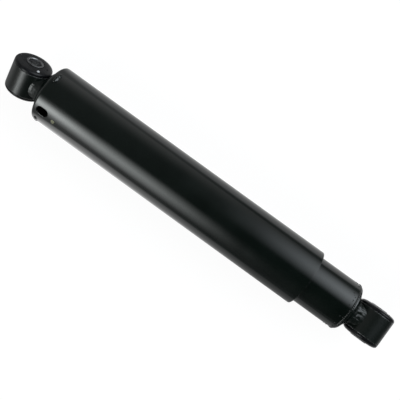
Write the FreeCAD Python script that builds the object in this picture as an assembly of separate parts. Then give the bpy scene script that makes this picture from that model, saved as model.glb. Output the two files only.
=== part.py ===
"""Twin-tube shock absorber with a rubber-bushed eye at each end, in millimetres.

+X runs along the strut from the lower eye to the upper eye, +Y along the lower eye's bore, +Z is up
with the strut lying level. The origin is the middle of the lower eye's bore. The strut is stored nearly
closed, with a short closing travel left.
"""

import FreeCAD
import Part
import math
import os

# Whole strut
EYE_TO_EYE = 447.0
EYE_TWIST = -31.0
CLOSING_TRAVEL = 8.0
STOP_CLEARANCE = 2.0
FIT = 0.05
TOUCH = 0.02

# Eyes: steel ring, rubber bush, steel sleeve
EYE_OD = 41.0
EYE_WALL = 3.6
EYE_WIDTH = 29.0
EYE_EDGE = 0.7
SLEEVE_BORE = 14.2
SLEEVE_WALL = 2.2
SLEEVE_LENGTH = 40.0
SLEEVE_CHAMFER = 0.4
BUSH_LIP_EDGE = 1.5
BUSH_LIP_INSET = 0.2
BUSH_FACE_DROP = 0.6
BUSH_CONE = 0.9
BUSH_SHOULDER = 3.4

# Saddle welds between eyes and end caps
ROOT_GAP = 0.4
SADDLE_RADIUS = 13.2
SADDLE_BEAD = 5.0
SADDLE_RISE = 0.6
SADDLE_END_INSET = 1.0

# Base cap and its seam weld
BASE_DEPTH = 10.5
BASE_WALL = 4.0
BASE_CROWN = 9.0
BASE_SHOULDER_INSET = 0.5
BASE_SKIRT = 7.6
BASE_BULGE = 2.4
SEAM_BEAD = 1.3
SEAM_INSET = 0.8

# Reserve tube
TUBE_OD = 55.0
TUBE_WALL = 2.0
TUBE_ROLL = 3.0
TUBE_LIP_BORE = 38.0

# Working cylinder
CYLINDER_BORE = 36.0
CYLINDER_WALL = 1.5

# Base valve
VALVE_FLANGE = 4.0
VALVE_HUB = 8.0
VALVE_RELIEF = 0.2
SLOT_COUNT = 6
SLOT_WIDTH = 9.0
INTAKE_COUNT = 8
INTAKE_D = 4.0
INTAKE_CIRCLE = 26.0
BLEED_COUNT = 6
BLEED_D = 2.6
BLEED_CIRCLE = 16.0
BOLT_D = 6.0
BOLT_GUIDE_D = 9.0
BOLT_HEAD_D = 15.0
BOLT_HEAD = 4.0
BOLT_TAIL = 1.0
NUT_FLATS = 10.0
NUT_HEIGHT = 4.8
SHIM = 0.4
SHIM_DIAMETERS = (22.0, 19.0, 16.0)
CHECK_PLATE = 1.0
CHECK_PLATE_OD = 32.8
CHECK_SPRING_REACH = 27.0
CHECK_SPRING_RISE = 2.8
CHECK_SPRING_THICK = 0.4
CHECK_RING = 2.2
WINDOW_COUNT = 3
WINDOW_ANGLE = 98.0

# Rod
ROD_D = 16.0
ROD_TENON_D = 12.0
ROD_END_D = 14.0
ROD_CHAMFER = 1.0

# Piston and its valves, named from the bottom nut upwards
PISTON_NUT_FLATS = 19.0
PISTON_NUT_HEIGHT = 10.0
NUT_FLANGE = 2.5
NUT_FLANGE_D = 25.0
GUIDE_SLEEVE_D = 14.8
GUIDE_SLEEVE_LENGTH = 15.5
REBOUND_SPRING_D = 20.4
REBOUND_WIRE = 2.2
REBOUND_TURNS = 3.5
REBOUND_PLATE = 1.9
REBOUND_PLATE_D = 23.0
REBOUND_COLLAR = 1.6
REBOUND_COLLAR_D = 17.2
REBOUND_SHIM = 0.35
REBOUND_SHIM_DIAMETERS = (24.2, 24.2, 21.0)
PISTON_HEIGHT = 14.0
PISTON_CLEARANCE = 0.3
PISTON_EDGE = 0.6
BAND_WIDTH = 7.0
BAND_DEPTH = 1.1
BAND_SPLIT = 1.2
BAND_END_PLAY = 0.1
BYPASS_COUNT = 9
BYPASS_D = 3.2
BYPASS_CIRCLE = 28.4
REBOUND_COUNT = 6
REBOUND_PORT_D = 2.6
REBOUND_CIRCLE = 20.0
SPACER_D = 15.0
SPACER_HEIGHT = 3.0
PISTON_PLATE_OD = 32.6
PISTON_PLATE_RING = 1.4
PISTON_SPRING_THICK = 0.5
PISTON_SPRING_HUB = 18.0
PISTON_SPRING_REACH = 29.6
FINGER_COUNT = 6
FINGER_GAP = 3.0
SUPPORT_WASHER = 3.0
SUPPORT_WASHER_D = 29.0

# Rebound stop
STOP_OFFSET = 10.0
STOP_HEIGHT = 6.0
STOP_D = 26.0
STOP_GROOVE = 2.0
STOP_GROOVE_DEPTH = 0.7
CUSHION_HEIGHT = 12.0
CUSHION_D = 29.0
CUSHION_WAIST = 1.2

# Rod guide, seal and cover
GUIDE_FLANGE = 14.0
GUIDE_SPIGOT = 12.0
GUIDE_LEAD = 1.5
GUIDE_BUSH_WALL = 1.5
GUIDE_RING_HEIGHT = 5.0
SEAL_RING_WIRE = 2.4
SEAL_RING_PLAY = 0.6
SEAL_POCKET_D = 32.0
SEAL_HEIGHT = 9.0
SEAL_LIP = 1.2
GARTER_WIRE = 1.4
GARTER_DROP = 2.2
COVER = 3.0
COVER_BORE = 17.4

# Dust cap and dust tube
DUST_OD = 65.0
DUST_WALL = 1.6
DUST_LENGTH = 336.0
DUST_SHOULDER = 2.8
DUST_LIP_REACH = 1.2
DUST_CURL = 2.4
DUST_CURL_LIP = 0.6
DUST_CAP_DEPTH = 7.4
DUST_CAP_WALL = 4.6
DUST_CAP_RIM = 1.7
DUST_CAP_BULGE = 3.0
DUST_CAP_BOSS = 5.0
BOSS_CROWN = 19.0

# Drain slots and tack welds round the dust tube's upper end, angles from +Z towards +Y
DRAIN_LENGTH = 15.0
DRAIN_WIDTH = 10.4
DRAIN_DROP = 12.3
DRAIN_ANGLES = (40.0, 220.0)
TACK_LENGTH = 13.0
TACK_WIDTH = 5.6
TACK_PROUD = 1.8
TACK_DROP = 6.2
TACK_ANGLES = (-30.0, 73.0, 200.0)

ORIGIN = FreeCAD.Vector(0, 0, 0)
X_AXIS = FreeCAD.Vector(1, 0, 0)
Y_AXIS = FreeCAD.Vector(0, 1, 0)
Z_AXIS = FreeCAD.Vector(0, 0, 1)

# Places along the strut, worked up from the lower eye and down from the upper eye
lower_crown = EYE_OD / 2 + ROOT_GAP
base_rim = lower_crown + BASE_DEPTH
valve_seat = base_rim + BASE_SKIRT
cylinder_foot = valve_seat + VALVE_FLANGE
valve_top = cylinder_foot + VALVE_HUB
bolt_shoulder = valve_top + CHECK_PLATE + CHECK_SPRING_RISE + CHECK_SPRING_THICK
bolt_top = bolt_shoulder + BOLT_HEAD

upper_crown = EYE_TO_EYE - EYE_OD / 2 - ROOT_GAP
dust_top = upper_crown - DUST_CAP_DEPTH
dust_foot = dust_top - DUST_LENGTH
dust_cap_foot = dust_top - DUST_SHOULDER - DUST_CAP_RIM
rod_seat = upper_crown - DUST_CAP_BOSS
body_top = dust_cap_foot - CLOSING_TRAVEL - STOP_CLEARANCE
cover_top = body_top - TUBE_WALL
guide_top = cover_top - COVER
seal_foot = guide_top - SEAL_HEIGHT
guide_shoulder = guide_top - GUIDE_FLANGE
guide_foot = guide_shoulder - GUIDE_SPIGOT

piston_nut_foot = bolt_top + CLOSING_TRAVEL + STOP_CLEARANCE
nut_top = piston_nut_foot + PISTON_NUT_HEIGHT + NUT_FLANGE
piston_foot = nut_top + GUIDE_SLEEVE_LENGTH
piston_top = piston_foot + PISTON_HEIGHT
spacer_top = piston_top + SPACER_HEIGHT
washer_foot = spacer_top + PISTON_SPRING_THICK
rod_shoulder = washer_foot + SUPPORT_WASHER
stop_foot = rod_shoulder + STOP_OFFSET
stop_top = stop_foot + STOP_HEIGHT
groove_foot = stop_foot + (STOP_HEIGHT - STOP_GROOVE) / 2
cushion_top = stop_top + CUSHION_HEIGHT

# Radii that several pieces share
eye_radius = EYE_OD / 2
eye_bore = eye_radius - EYE_WALL
sleeve_radius = SLEEVE_BORE / 2 + SLEEVE_WALL
tube_radius = TUBE_OD / 2
tube_bore = tube_radius - TUBE_WALL
cylinder_bore = CYLINDER_BORE / 2
cylinder_radius = cylinder_bore + CYLINDER_WALL
rod_radius = ROD_D / 2
tenon_radius = ROD_TENON_D / 2
rod_end_radius = ROD_END_D / 2
guide_sleeve_radius = GUIDE_SLEEVE_D / 2
spacer_radius = SPACER_D / 2
bolt_radius = BOLT_D / 2
bolt_guide_radius = BOLT_GUIDE_D / 2
dust_radius = DUST_OD / 2
dust_bore = dust_radius - DUST_WALL


def section(start, *steps):
    """Closed face in the XZ plane. A step is a point (x, r), or a pair of points for an arc."""
    edges = []
    here = start
    for step in steps + (start,):
        if isinstance(step[0], tuple):
            middle, end = step
            arc = Part.Arc(at(here), at(middle), at(end))
            edges.append(arc.toShape())
        else:
            end = step
            edges.append(Part.LineSegment(at(here), at(end)).toShape())
        here = end
    return Part.Face(Part.Wire(edges))


def at(point):
    return FreeCAD.Vector(point[0], 0, point[1])


def quarter(centre, radius, start_angle):
    """Middle point of a quarter arc that starts at start_angle, in degrees, and turns by 90."""
    angle = math.radians(start_angle + 45)
    return (centre[0] + radius * math.cos(angle), centre[1] + radius * math.sin(angle))


def turned(start, *steps):
    """Solid of revolution about the X axis."""
    return section(start, *steps).revolve(ORIGIN, X_AXIS, 360)


def washer(low, high, bore, radius):
    return turned((low, bore), (low, radius), (high, radius), (high, bore))


def ring_wire(x, radius, wire):
    """Round wire bent into a ring about the X axis."""
    return Part.makeTorus(radius, wire / 2, FreeCAD.Vector(x, 0, 0), X_AXIS)


def turn_about_x(shape, angle):
    moved = shape.copy()
    moved.rotate(ORIGIN, X_AXIS, angle)
    return moved


def spread(shape, count, first=0.0):
    """Copies of a shape evenly round the X axis."""
    return [turn_about_x(shape, first + 360.0 * i / count) for i in range(count)]


def ports(low, high, circle, diameter, count):
    """Axial drillings on a circle, with a little overrun at both faces."""
    overrun = 1.0
    foot = FreeCAD.Vector(low - overrun, 0, circle / 2)
    drill = Part.makeCylinder(diameter / 2, high - low + 2 * overrun, foot, X_AXIS)
    return spread(drill, count)


def hexagon(flats, low, high):
    """Hexagonal prism along X, with its outer corners turned off."""
    corner = flats / math.sqrt(3)
    points = []
    for i in range(7):
        angle = math.radians(60 * i)
        points.append(FreeCAD.Vector(low, corner * math.cos(angle), corner * math.sin(angle)))
    prism = Part.Face(Part.makePolygon(points)).extrude(X_AXIS * (high - low))
    bevel = corner - flats / 2
    turned_blank = turned(
        (low, 0),
        (low, flats / 2),
        (low + bevel, corner),
        (high, corner),
        (high, 0),
    )
    return prism.common(turned_blank)


def arc_window(low, high, inner, outer, angle):
    """Part of a ring, for the kidney windows of a valve plate."""
    face = section((low, inner), (low, outer), (high, outer), (high, inner))
    return turn_about_x(face, -angle / 2).revolve(ORIGIN, X_AXIS, angle)


def eye_placed(shape, eye_x, twist):
    """A piece turned about X at the origin, stood on an eye's bore axis."""
    moved = shape.copy()
    moved.rotate(ORIGIN, Z_AXIS, 90)
    moved.rotate(ORIGIN, X_AXIS, twist)
    moved.translate(FreeCAD.Vector(eye_x, 0, 0))
    return moved


def solid_of(shape):
    """The pieces of a boolean result, as one solid or one compound of solids."""
    solids = shape.Solids
    if len(solids) == 1:
        return solids[0]
    return Part.makeCompound(solids)


# Eye ring: a length of thick tube with broken edges
def eye_ring():
    half = EYE_WIDTH / 2
    return turned(
        (-half, eye_bore),
        (-half, eye_radius - EYE_EDGE),
        (-half + EYE_EDGE, eye_radius),
        (half - EYE_EDGE, eye_radius),
        (half, eye_radius - EYE_EDGE),
        (half, eye_bore),
    )


# Rubber bush: a core in the ring, with a domed lip over each edge of the ring
def bush_rubber():
    inner = sleeve_radius + FIT
    core = eye_bore - FIT
    foot = EYE_WIDTH / 2 + FIT
    face = SLEEVE_LENGTH / 2 - BUSH_FACE_DROP
    lip = eye_radius - BUSH_LIP_INSET
    edge = foot + BUSH_LIP_EDGE
    shoulder = lip - BUSH_SHOULDER
    brow = face - BUSH_CONE
    round_x = edge + (brow - edge) * math.sin(math.radians(45))
    round_r = shoulder + (lip - shoulder) * math.cos(math.radians(45))
    return turned(
        (face, inner),
        (brow, shoulder),
        ((round_x, round_r), (edge, lip)),
        (foot, lip),
        (foot, core),
        (-foot, core),
        (-foot, lip),
        (-edge, lip),
        ((-round_x, round_r), (-brow, shoulder)),
        (-face, inner),
    )


# Bush sleeve: plain steel tube that the mounting bolt clamps
def bush_sleeve():
    half = SLEEVE_LENGTH / 2
    bore = SLEEVE_BORE / 2
    return turned(
        (-half, bore + SLEEVE_CHAMFER),
        (-half, sleeve_radius),
        (half, sleeve_radius),
        (half, bore + SLEEVE_CHAMFER),
        (half - SLEEVE_CHAMFER, bore),
        (-half + SLEEVE_CHAMFER, bore),
    )


# Saddle weld: a bead round the foot of the eye, between the ring and the crown of the cap
def saddle_weld(eye_x, twist, towards, cap_filled):
    place = eye_x + towards * (eye_radius + ROOT_GAP / 2 - SADDLE_RISE)
    bead = ring_wire(place, SADDLE_RADIUS, 2 * SADDLE_BEAD)
    reach = SADDLE_RADIUS + SADDLE_BEAD
    width = EYE_WIDTH - 2 * SADDLE_END_INSET
    slab = Part.makeBox(
        4 * reach, width, 4 * reach, FreeCAD.Vector(eye_x - 2 * reach, -width / 2, -2 * reach)
    )
    blank = Part.makeCylinder(eye_radius, 2 * EYE_WIDTH, FreeCAD.Vector(eye_x, -EYE_WIDTH, 0), Y_AXIS)
    loop = bead.common(slab).cut(blank)
    return solid_of(turn_about_x(loop, twist).cut(cap_filled))


# Base cap: a deep-drawn dish that plugs the foot of the reserve tube
base_shoulder = tube_radius - BASE_SHOULDER_INSET
base_skirt_radius = tube_bore - FIT
base_skirt_bore = base_skirt_radius - BASE_WALL
base_bow = (
    (lower_crown + base_rim) / 2 - BASE_BULGE / 2,
    (BASE_CROWN + base_shoulder) / 2 + BASE_BULGE,
)
base_cap = turned(
    (lower_crown, 0),
    (lower_crown, BASE_CROWN),
    (base_bow, (base_rim, base_shoulder)),
    (base_rim, base_skirt_radius),
    (valve_seat, base_skirt_radius),
    (valve_seat, base_skirt_bore),
    (base_rim + BASE_WALL / 2, base_skirt_bore),
    (lower_crown + BASE_WALL, BASE_CROWN),
    (lower_crown + BASE_WALL, 0),
)
base_filled = turned(
    (lower_crown, 0),
    (lower_crown, BASE_CROWN),
    (base_bow, (base_rim, base_shoulder)),
    (valve_seat, base_shoulder),
    (valve_seat, 0),
)

# Reserve tube: its upper end is rolled in over the seal cover
roll_centre = (body_top - TUBE_ROLL, tube_radius - TUBE_ROLL)
reserve_tube = turned(
    (base_rim, tube_bore),
    (base_rim, tube_radius),
    (roll_centre[0], tube_radius),
    (quarter(roll_centre, TUBE_ROLL, 0), (body_top, roll_centre[1])),
    (body_top, TUBE_LIP_BORE / 2),
    (cover_top, TUBE_LIP_BORE / 2),
    (cover_top, tube_bore),
)

# Seam weld that closes the joint between base cap and reserve tube
seam_round = ring_wire(base_rim, tube_radius - SEAM_INSET, 2 * SEAM_BEAD)
tube_blank = turned((base_rim, 0), (base_rim, tube_radius), (valve_seat, tube_radius), (valve_seat, 0))
base_cap_weld = solid_of(seam_round.cut(tube_blank).cut(base_filled))

# Working cylinder: stands on the base valve and is closed by the rod guide
working_cylinder = washer(cylinder_foot, guide_shoulder, cylinder_bore, cylinder_radius)

# Base valve: slotted foot flange, intake ports outside and bleed ports inside
valve_hub_radius = cylinder_bore - FIT
valve_body = turned(
    (valve_seat, bolt_radius + FIT),
    (valve_seat, base_skirt_radius - VALVE_RELIEF),
    (cylinder_foot, base_skirt_radius - VALVE_RELIEF),
    (cylinder_foot, valve_hub_radius),
    (valve_top, valve_hub_radius),
    (valve_top, bolt_radius + FIT),
)
slot_floor = cylinder_radius + VALVE_RELIEF
slot = Part.makeBox(
    3 * VALVE_FLANGE,
    SLOT_WIDTH,
    tube_radius - slot_floor,
    FreeCAD.Vector(valve_seat - VALVE_FLANGE, -SLOT_WIDTH / 2, slot_floor),
)
valve_cuts = (
    spread(slot, SLOT_COUNT)
    + ports(valve_seat, valve_top, INTAKE_CIRCLE, INTAKE_D, INTAKE_COUNT)
    + ports(valve_seat, valve_top, BLEED_CIRCLE, BLEED_D, BLEED_COUNT)
)
base_valve_body = solid_of(valve_body.cut(valve_cuts))

# Base valve bolt: shouldered to guide the check plate, with its nut under the bleed shims
shim_stack = SHIM * len(SHIM_DIAMETERS)
base_nut_top = valve_seat - shim_stack
base_nut_foot = base_nut_top - NUT_HEIGHT
bolt_head_radius = BOLT_HEAD_D / 2
base_valve_bolt = turned(
    (base_nut_foot - BOLT_TAIL, 0),
    (base_nut_foot - BOLT_TAIL, bolt_radius),
    (valve_top, bolt_radius),
    (valve_top, bolt_guide_radius),
    (bolt_shoulder, bolt_guide_radius),
    (bolt_shoulder, bolt_head_radius),
    (bolt_top - ROD_CHAMFER, bolt_head_radius),
    (bolt_top, bolt_head_radius - ROD_CHAMFER),
    (bolt_top, 0),
)
nut_bore = Part.makeCylinder(
    bolt_radius + FIT, 2 * NUT_HEIGHT, FreeCAD.Vector(base_nut_foot - BOLT_TAIL, 0, 0), X_AXIS
)
base_valve_nut = hexagon(NUT_FLATS, base_nut_foot, base_nut_top).cut(nut_bore)


def shim_pack(face, step, thickness, diameters, bore):
    """Flat shims stacked from a valve face in the direction of step."""
    shims = []
    for i, diameter in enumerate(diameters):
        near = face + step * thickness * i
        far = near + step * thickness
        shims.append(washer(min(near, far), max(near, far), bore, diameter / 2))
    return Part.makeCompound(shims)


compression_shims = shim_pack(valve_seat, -1, SHIM, SHIM_DIAMETERS, bolt_radius + FIT)


def windowed_plate(foot, thickness, bore, radius, window_inner, window_outer):
    """Flat check plate with kidney windows over the ports that it must leave open."""
    plate = washer(foot, foot + thickness, bore, radius)
    window = arc_window(foot - thickness, foot + 2 * thickness, window_inner, window_outer, WINDOW_ANGLE)
    return solid_of(plate.cut(spread(window, WINDOW_COUNT)))


# Base check plate: lifts off the intake ports when the cylinder draws oil from the reserve
base_plate_foot = valve_top + TOUCH
base_check_plate = windowed_plate(
    base_plate_foot,
    CHECK_PLATE,
    bolt_guide_radius + FIT,
    CHECK_PLATE_OD / 2,
    bolt_guide_radius + CHECK_RING,
    INTAKE_CIRCLE / 2 - INTAKE_D / 2 - FIT,
)


def finger_spring(profile, root, reach):
    """A coned spring ring cut into fingers by radial gaps from root outwards."""
    gap = Part.makeBox(
        4 * reach, FINGER_GAP, 2 * reach, FreeCAD.Vector(profile.BoundBox.XMin - reach, -FINGER_GAP / 2, root)
    )
    return solid_of(profile.cut(spread(gap, FINGER_COUNT)))


# Base check spring: light finger spring between the check plate and the bolt's head
base_spring_foot = base_plate_foot + CHECK_PLATE + TOUCH
base_spring_cone = turned(
    (base_spring_foot, CHECK_SPRING_REACH / 2),
    (base_spring_foot + CHECK_SPRING_THICK, CHECK_SPRING_REACH / 2),
    (bolt_shoulder - TOUCH, bolt_head_radius),
    (bolt_shoulder - TOUCH, bolt_guide_radius + FIT),
    (bolt_shoulder - TOUCH - CHECK_SPRING_THICK, bolt_guide_radius + FIT),
    (bolt_shoulder - TOUCH - CHECK_SPRING_THICK, bolt_head_radius),
)
base_check_spring = finger_spring(base_spring_cone, bolt_head_radius, CHECK_SPRING_REACH / 2)

# Piston rod: threaded tenon below, grooved for the rebound stop, necked into the dust cap above
groove_top = groove_foot + STOP_GROOVE
groove_radius = rod_radius - STOP_GROOVE_DEPTH
piston_rod = turned(
    (piston_nut_foot - ROD_CHAMFER, 0),
    (piston_nut_foot - ROD_CHAMFER, tenon_radius - ROD_CHAMFER),
    (piston_nut_foot, tenon_radius),
    (rod_shoulder, tenon_radius),
    (rod_shoulder, rod_radius),
    (groove_foot, rod_radius),
    (groove_foot, groove_radius),
    (groove_top, groove_radius),
    (groove_top, rod_radius),
    (rod_seat, rod_radius),
    (rod_seat, rod_end_radius),
    (upper_crown, rod_end_radius),
    (upper_crown, 0),
)

# Piston nut: clamps the whole valve stack against the rod's shoulder
nut_blank = hexagon(PISTON_NUT_FLATS, piston_nut_foot, nut_top - NUT_FLANGE).fuse(
    Part.makeCylinder(NUT_FLANGE_D / 2, NUT_FLANGE, FreeCAD.Vector(nut_top - NUT_FLANGE, 0, 0), X_AXIS)
)
tenon_hole = Part.makeCylinder(
    tenon_radius + FIT, 2 * PISTON_NUT_HEIGHT, FreeCAD.Vector(piston_nut_foot - ROD_CHAMFER, 0, 0), X_AXIS
)
piston_nut = solid_of(nut_blank.cut(tenon_hole).removeSplitter())

# Guide sleeve: spaces nut and piston, and carries the sliding rebound plate
valve_guide_sleeve = washer(nut_top, piston_foot, tenon_radius + FIT, guide_sleeve_radius)

# Rebound shims and plate: lift off the piston's inner ports as the strut extends
plate_bore = guide_sleeve_radius + FIT
rebound_shims = shim_pack(piston_foot - TOUCH, -1, REBOUND_SHIM, REBOUND_SHIM_DIAMETERS, plate_bore)
rebound_plate_top = piston_foot - TOUCH - REBOUND_SHIM * len(REBOUND_SHIM_DIAMETERS)
rebound_plate_foot = rebound_plate_top - REBOUND_PLATE
rebound_valve_plate = turned(
    (rebound_plate_top, plate_bore),
    (rebound_plate_top, REBOUND_PLATE_D / 2),
    (rebound_plate_foot, REBOUND_PLATE_D / 2),
    (rebound_plate_foot, REBOUND_COLLAR_D / 2),
    (rebound_plate_foot - REBOUND_COLLAR, REBOUND_COLLAR_D / 2),
    (rebound_plate_foot - REBOUND_COLLAR, plate_bore),
)


# Rebound spring: coil with ground ends between the nut's flange and the rebound plate
def coil_spring(low, high, mean_radius, wire, turns):
    pitch = (high - low) / (turns - 0.5)
    helix = Part.makeHelix(pitch, pitch * turns, mean_radius)
    circle = Part.Circle(FreeCAD.Vector(mean_radius, 0, 0), Y_AXIS, wire / 2)
    coil = Part.Wire(helix).makePipeShell([Part.Wire(circle.toShape())], True, True)
    coil.translate(FreeCAD.Vector(0, 0, -pitch / 4))
    coil.rotate(ORIGIN, Y_AXIS, 90)
    coil.translate(FreeCAD.Vector(low, 0, 0))
    span = Part.makeCylinder(2 * mean_radius, high - low, FreeCAD.Vector(low, 0, 0), X_AXIS)
    return solid_of(Part.makeSolid(Part.Shell(coil.Faces)).common(span))


rebound_spring = coil_spring(
    nut_top + TOUCH, rebound_plate_foot - TOUCH, REBOUND_SPRING_D / 2, REBOUND_WIRE, REBOUND_TURNS
)

# Piston: two circles of ports and a groove for the sealing band
piston_radius = cylinder_bore - PISTON_CLEARANCE
band_foot = piston_foot + (PISTON_HEIGHT - BAND_WIDTH) / 2
band_top = band_foot + BAND_WIDTH
band_floor = piston_radius - BAND_DEPTH
piston_blank = turned(
    (piston_foot, tenon_radius + FIT),
    (piston_foot, piston_radius - PISTON_EDGE),
    (piston_foot + PISTON_EDGE, piston_radius),
    (band_foot, piston_radius),
    (band_foot, band_floor),
    (band_top, band_floor),
    (band_top, piston_radius),
    (piston_top - PISTON_EDGE, piston_radius),
    (piston_top, piston_radius - PISTON_EDGE),
    (piston_top, tenon_radius + FIT),
)
piston_ports = ports(piston_foot, piston_top, BYPASS_CIRCLE, BYPASS_D, BYPASS_COUNT) + ports(
    piston_foot, piston_top, REBOUND_CIRCLE, REBOUND_PORT_D, REBOUND_COUNT
)
piston = solid_of(piston_blank.cut(piston_ports))

# Piston band: split sealing ring that slides in the cylinder and lets the piston turn inside it
band_blank = washer(
    band_foot + BAND_END_PLAY, band_top - BAND_END_PLAY, band_floor + FIT, cylinder_bore - FIT
)
split = Part.makeBox(
    2 * BAND_WIDTH,
    BAND_SPLIT,
    CYLINDER_BORE,
    FreeCAD.Vector(band_foot - BAND_WIDTH / 2, -BAND_SPLIT / 2, 0),
)
piston_band = solid_of(band_blank.cut(split))

# Spacer, check plate, finger spring and support washer above the piston
check_spacer = washer(piston_top, spacer_top, tenon_radius + FIT, spacer_radius)
piston_plate_foot = piston_top + TOUCH
piston_check_plate = windowed_plate(
    piston_plate_foot,
    CHECK_PLATE,
    spacer_radius + FIT,
    PISTON_PLATE_OD / 2,
    spacer_radius + PISTON_PLATE_RING,
    BYPASS_CIRCLE / 2 - BYPASS_D / 2 - FIT,
)
piston_spring_tip = piston_plate_foot + CHECK_PLATE + TOUCH
piston_spring_cone = turned(
    (spacer_top, tenon_radius + FIT),
    (spacer_top, PISTON_SPRING_HUB / 2),
    (piston_spring_tip, PISTON_SPRING_REACH / 2),
    (piston_spring_tip + PISTON_SPRING_THICK, PISTON_SPRING_REACH / 2),
    (washer_foot, PISTON_SPRING_HUB / 2),
    (washer_foot, tenon_radius + FIT),
)
piston_check_spring = finger_spring(
    piston_spring_cone, PISTON_SPRING_HUB / 2, PISTON_SPRING_REACH / 2
)
check_support_washer = washer(washer_foot, rod_shoulder, tenon_radius + FIT, SUPPORT_WASHER_D / 2)

# Rebound stop: a collar rolled into the rod's groove, with an elastic cushion on it
collar_bore = rod_radius + FIT
stop_radius = STOP_D / 2
rebound_stop_collar = turned(
    (stop_foot, collar_bore),
    (stop_foot, stop_radius - ROD_CHAMFER),
    (stop_foot + ROD_CHAMFER, stop_radius),
    (stop_top, stop_radius),
    (stop_top, collar_bore),
    (groove_top - FIT, collar_bore),
    (groove_top - FIT, groove_radius + FIT),
    (groove_foot + FIT, groove_radius + FIT),
    (groove_foot + FIT, collar_bore),
)
cushion_radius = CUSHION_D / 2
rebound_cushion = turned(
    (stop_top, collar_bore),
    (stop_top, cushion_radius),
    (((stop_top + cushion_top) / 2, cushion_radius - CUSHION_WAIST), (cushion_top, cushion_radius)),
    (cushion_top, collar_bore),
)

# Rod guide: spigot in the cylinder, flange in the reserve tube, pocket for the seal
guide_radius = tube_bore - FIT
bush_outer = rod_radius + FIT + GUIDE_BUSH_WALL
spigot_radius = cylinder_bore - FIT
pocket_radius = SEAL_POCKET_D / 2
ring_place = guide_shoulder + GUIDE_RING_HEIGHT
ring_floor = guide_radius - SEAL_RING_WIRE - FIT
ring_half = (SEAL_RING_WIRE + SEAL_RING_PLAY) / 2
rod_guide = turned(
    (guide_foot, bush_outer + FIT),
    (guide_foot, spigot_radius - GUIDE_LEAD),
    (guide_foot + GUIDE_LEAD, spigot_radius),
    (guide_shoulder, spigot_radius),
    (guide_shoulder, guide_radius),
    (ring_place - ring_half, guide_radius),
    (ring_place - ring_half, ring_floor),
    (ring_place + ring_half, ring_floor),
    (ring_place + ring_half, guide_radius),
    (guide_top, guide_radius),
    (guide_top, pocket_radius),
    (seal_foot, pocket_radius),
    (seal_foot, bush_outer + FIT),
)
rod_guide_bush = washer(guide_foot, seal_foot, rod_radius + FIT, bush_outer)
guide_seal_ring = ring_wire(ring_place, guide_radius - SEAL_RING_WIRE / 2, SEAL_RING_WIRE)

# Rod seal: oil lip below with its garter spring, dust lip above, in one rubber moulding
seal_outer = pocket_radius - FIT
lip_bore = rod_radius + FIT
lip_back = lip_bore + SEAL_LIP
lip_outer = lip_back + SEAL_LIP * 0.75
seal_wall = seal_outer - 2.5 * SEAL_LIP
seal_top = guide_top - TOUCH
rod_seal = turned(
    (seal_foot, seal_outer),
    (seal_top, seal_outer),
    (seal_top, lip_back + SEAL_LIP / 4),
    (seal_top - SEAL_LIP, lip_bore),
    (seal_top - 2 * SEAL_LIP, lip_back),
    (seal_foot + 3 * SEAL_LIP, lip_back),
    (seal_foot + 2 * SEAL_LIP, lip_bore),
    (seal_foot + 1.5 * SEAL_LIP, lip_bore),
    (seal_foot + SEAL_LIP / 3, lip_back - SEAL_LIP / 3),
    (seal_foot + SEAL_LIP / 3, lip_outer),
    (seal_foot + 3.5 * SEAL_LIP, lip_outer),
    (seal_foot + 4 * SEAL_LIP, (lip_outer + seal_wall) / 2),
    (seal_foot + 3.5 * SEAL_LIP, seal_wall),
    (seal_foot, seal_wall),
)
seal_garter_spring = ring_wire(
    seal_foot + GARTER_DROP, lip_outer + GARTER_WIRE / 2 + TOUCH, GARTER_WIRE
)
seal_cover = washer(guide_top, cover_top, COVER_BORE / 2, guide_radius)

# Dust cap: a pressed crown welded to the rod's end, with the eye on top of it
crown_radius = BOSS_CROWN / 2
shoulder_centre = (dust_top - DUST_SHOULDER, dust_radius - DUST_SHOULDER)
lip_radius = shoulder_centre[1] - DUST_LIP_REACH
lip_under = dust_top - DUST_WALL - FIT
rim_turn = DUST_SHOULDER - DUST_WALL - FIT
dome_foot = lip_radius - 2 * FIT
dome_bow = (
    (upper_crown + lip_under) / 2 + DUST_CAP_BULGE / 2,
    (crown_radius + dome_foot) / 2 + DUST_CAP_BULGE,
)
dust_cap = turned(
    (rod_seat, rod_end_radius + FIT),
    (upper_crown, rod_end_radius + FIT),
    (upper_crown, crown_radius),
    (dome_bow, (lip_under, dome_foot)),
    (lip_under, shoulder_centre[1]),
    (quarter(shoulder_centre, rim_turn, 0), (shoulder_centre[0], shoulder_centre[1] + rim_turn)),
    (dust_cap_foot, shoulder_centre[1] + rim_turn),
    (dust_cap_foot, dome_foot),
    (rod_seat, crown_radius + DUST_CAP_WALL / 2),
)
dust_cap_filled = turned(
    (dust_cap_foot, 0),
    (upper_crown, 0),
    (upper_crown, crown_radius),
    (dome_bow, (lip_under, dome_foot)),
    (dust_cap_foot, dome_foot),
)

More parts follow.
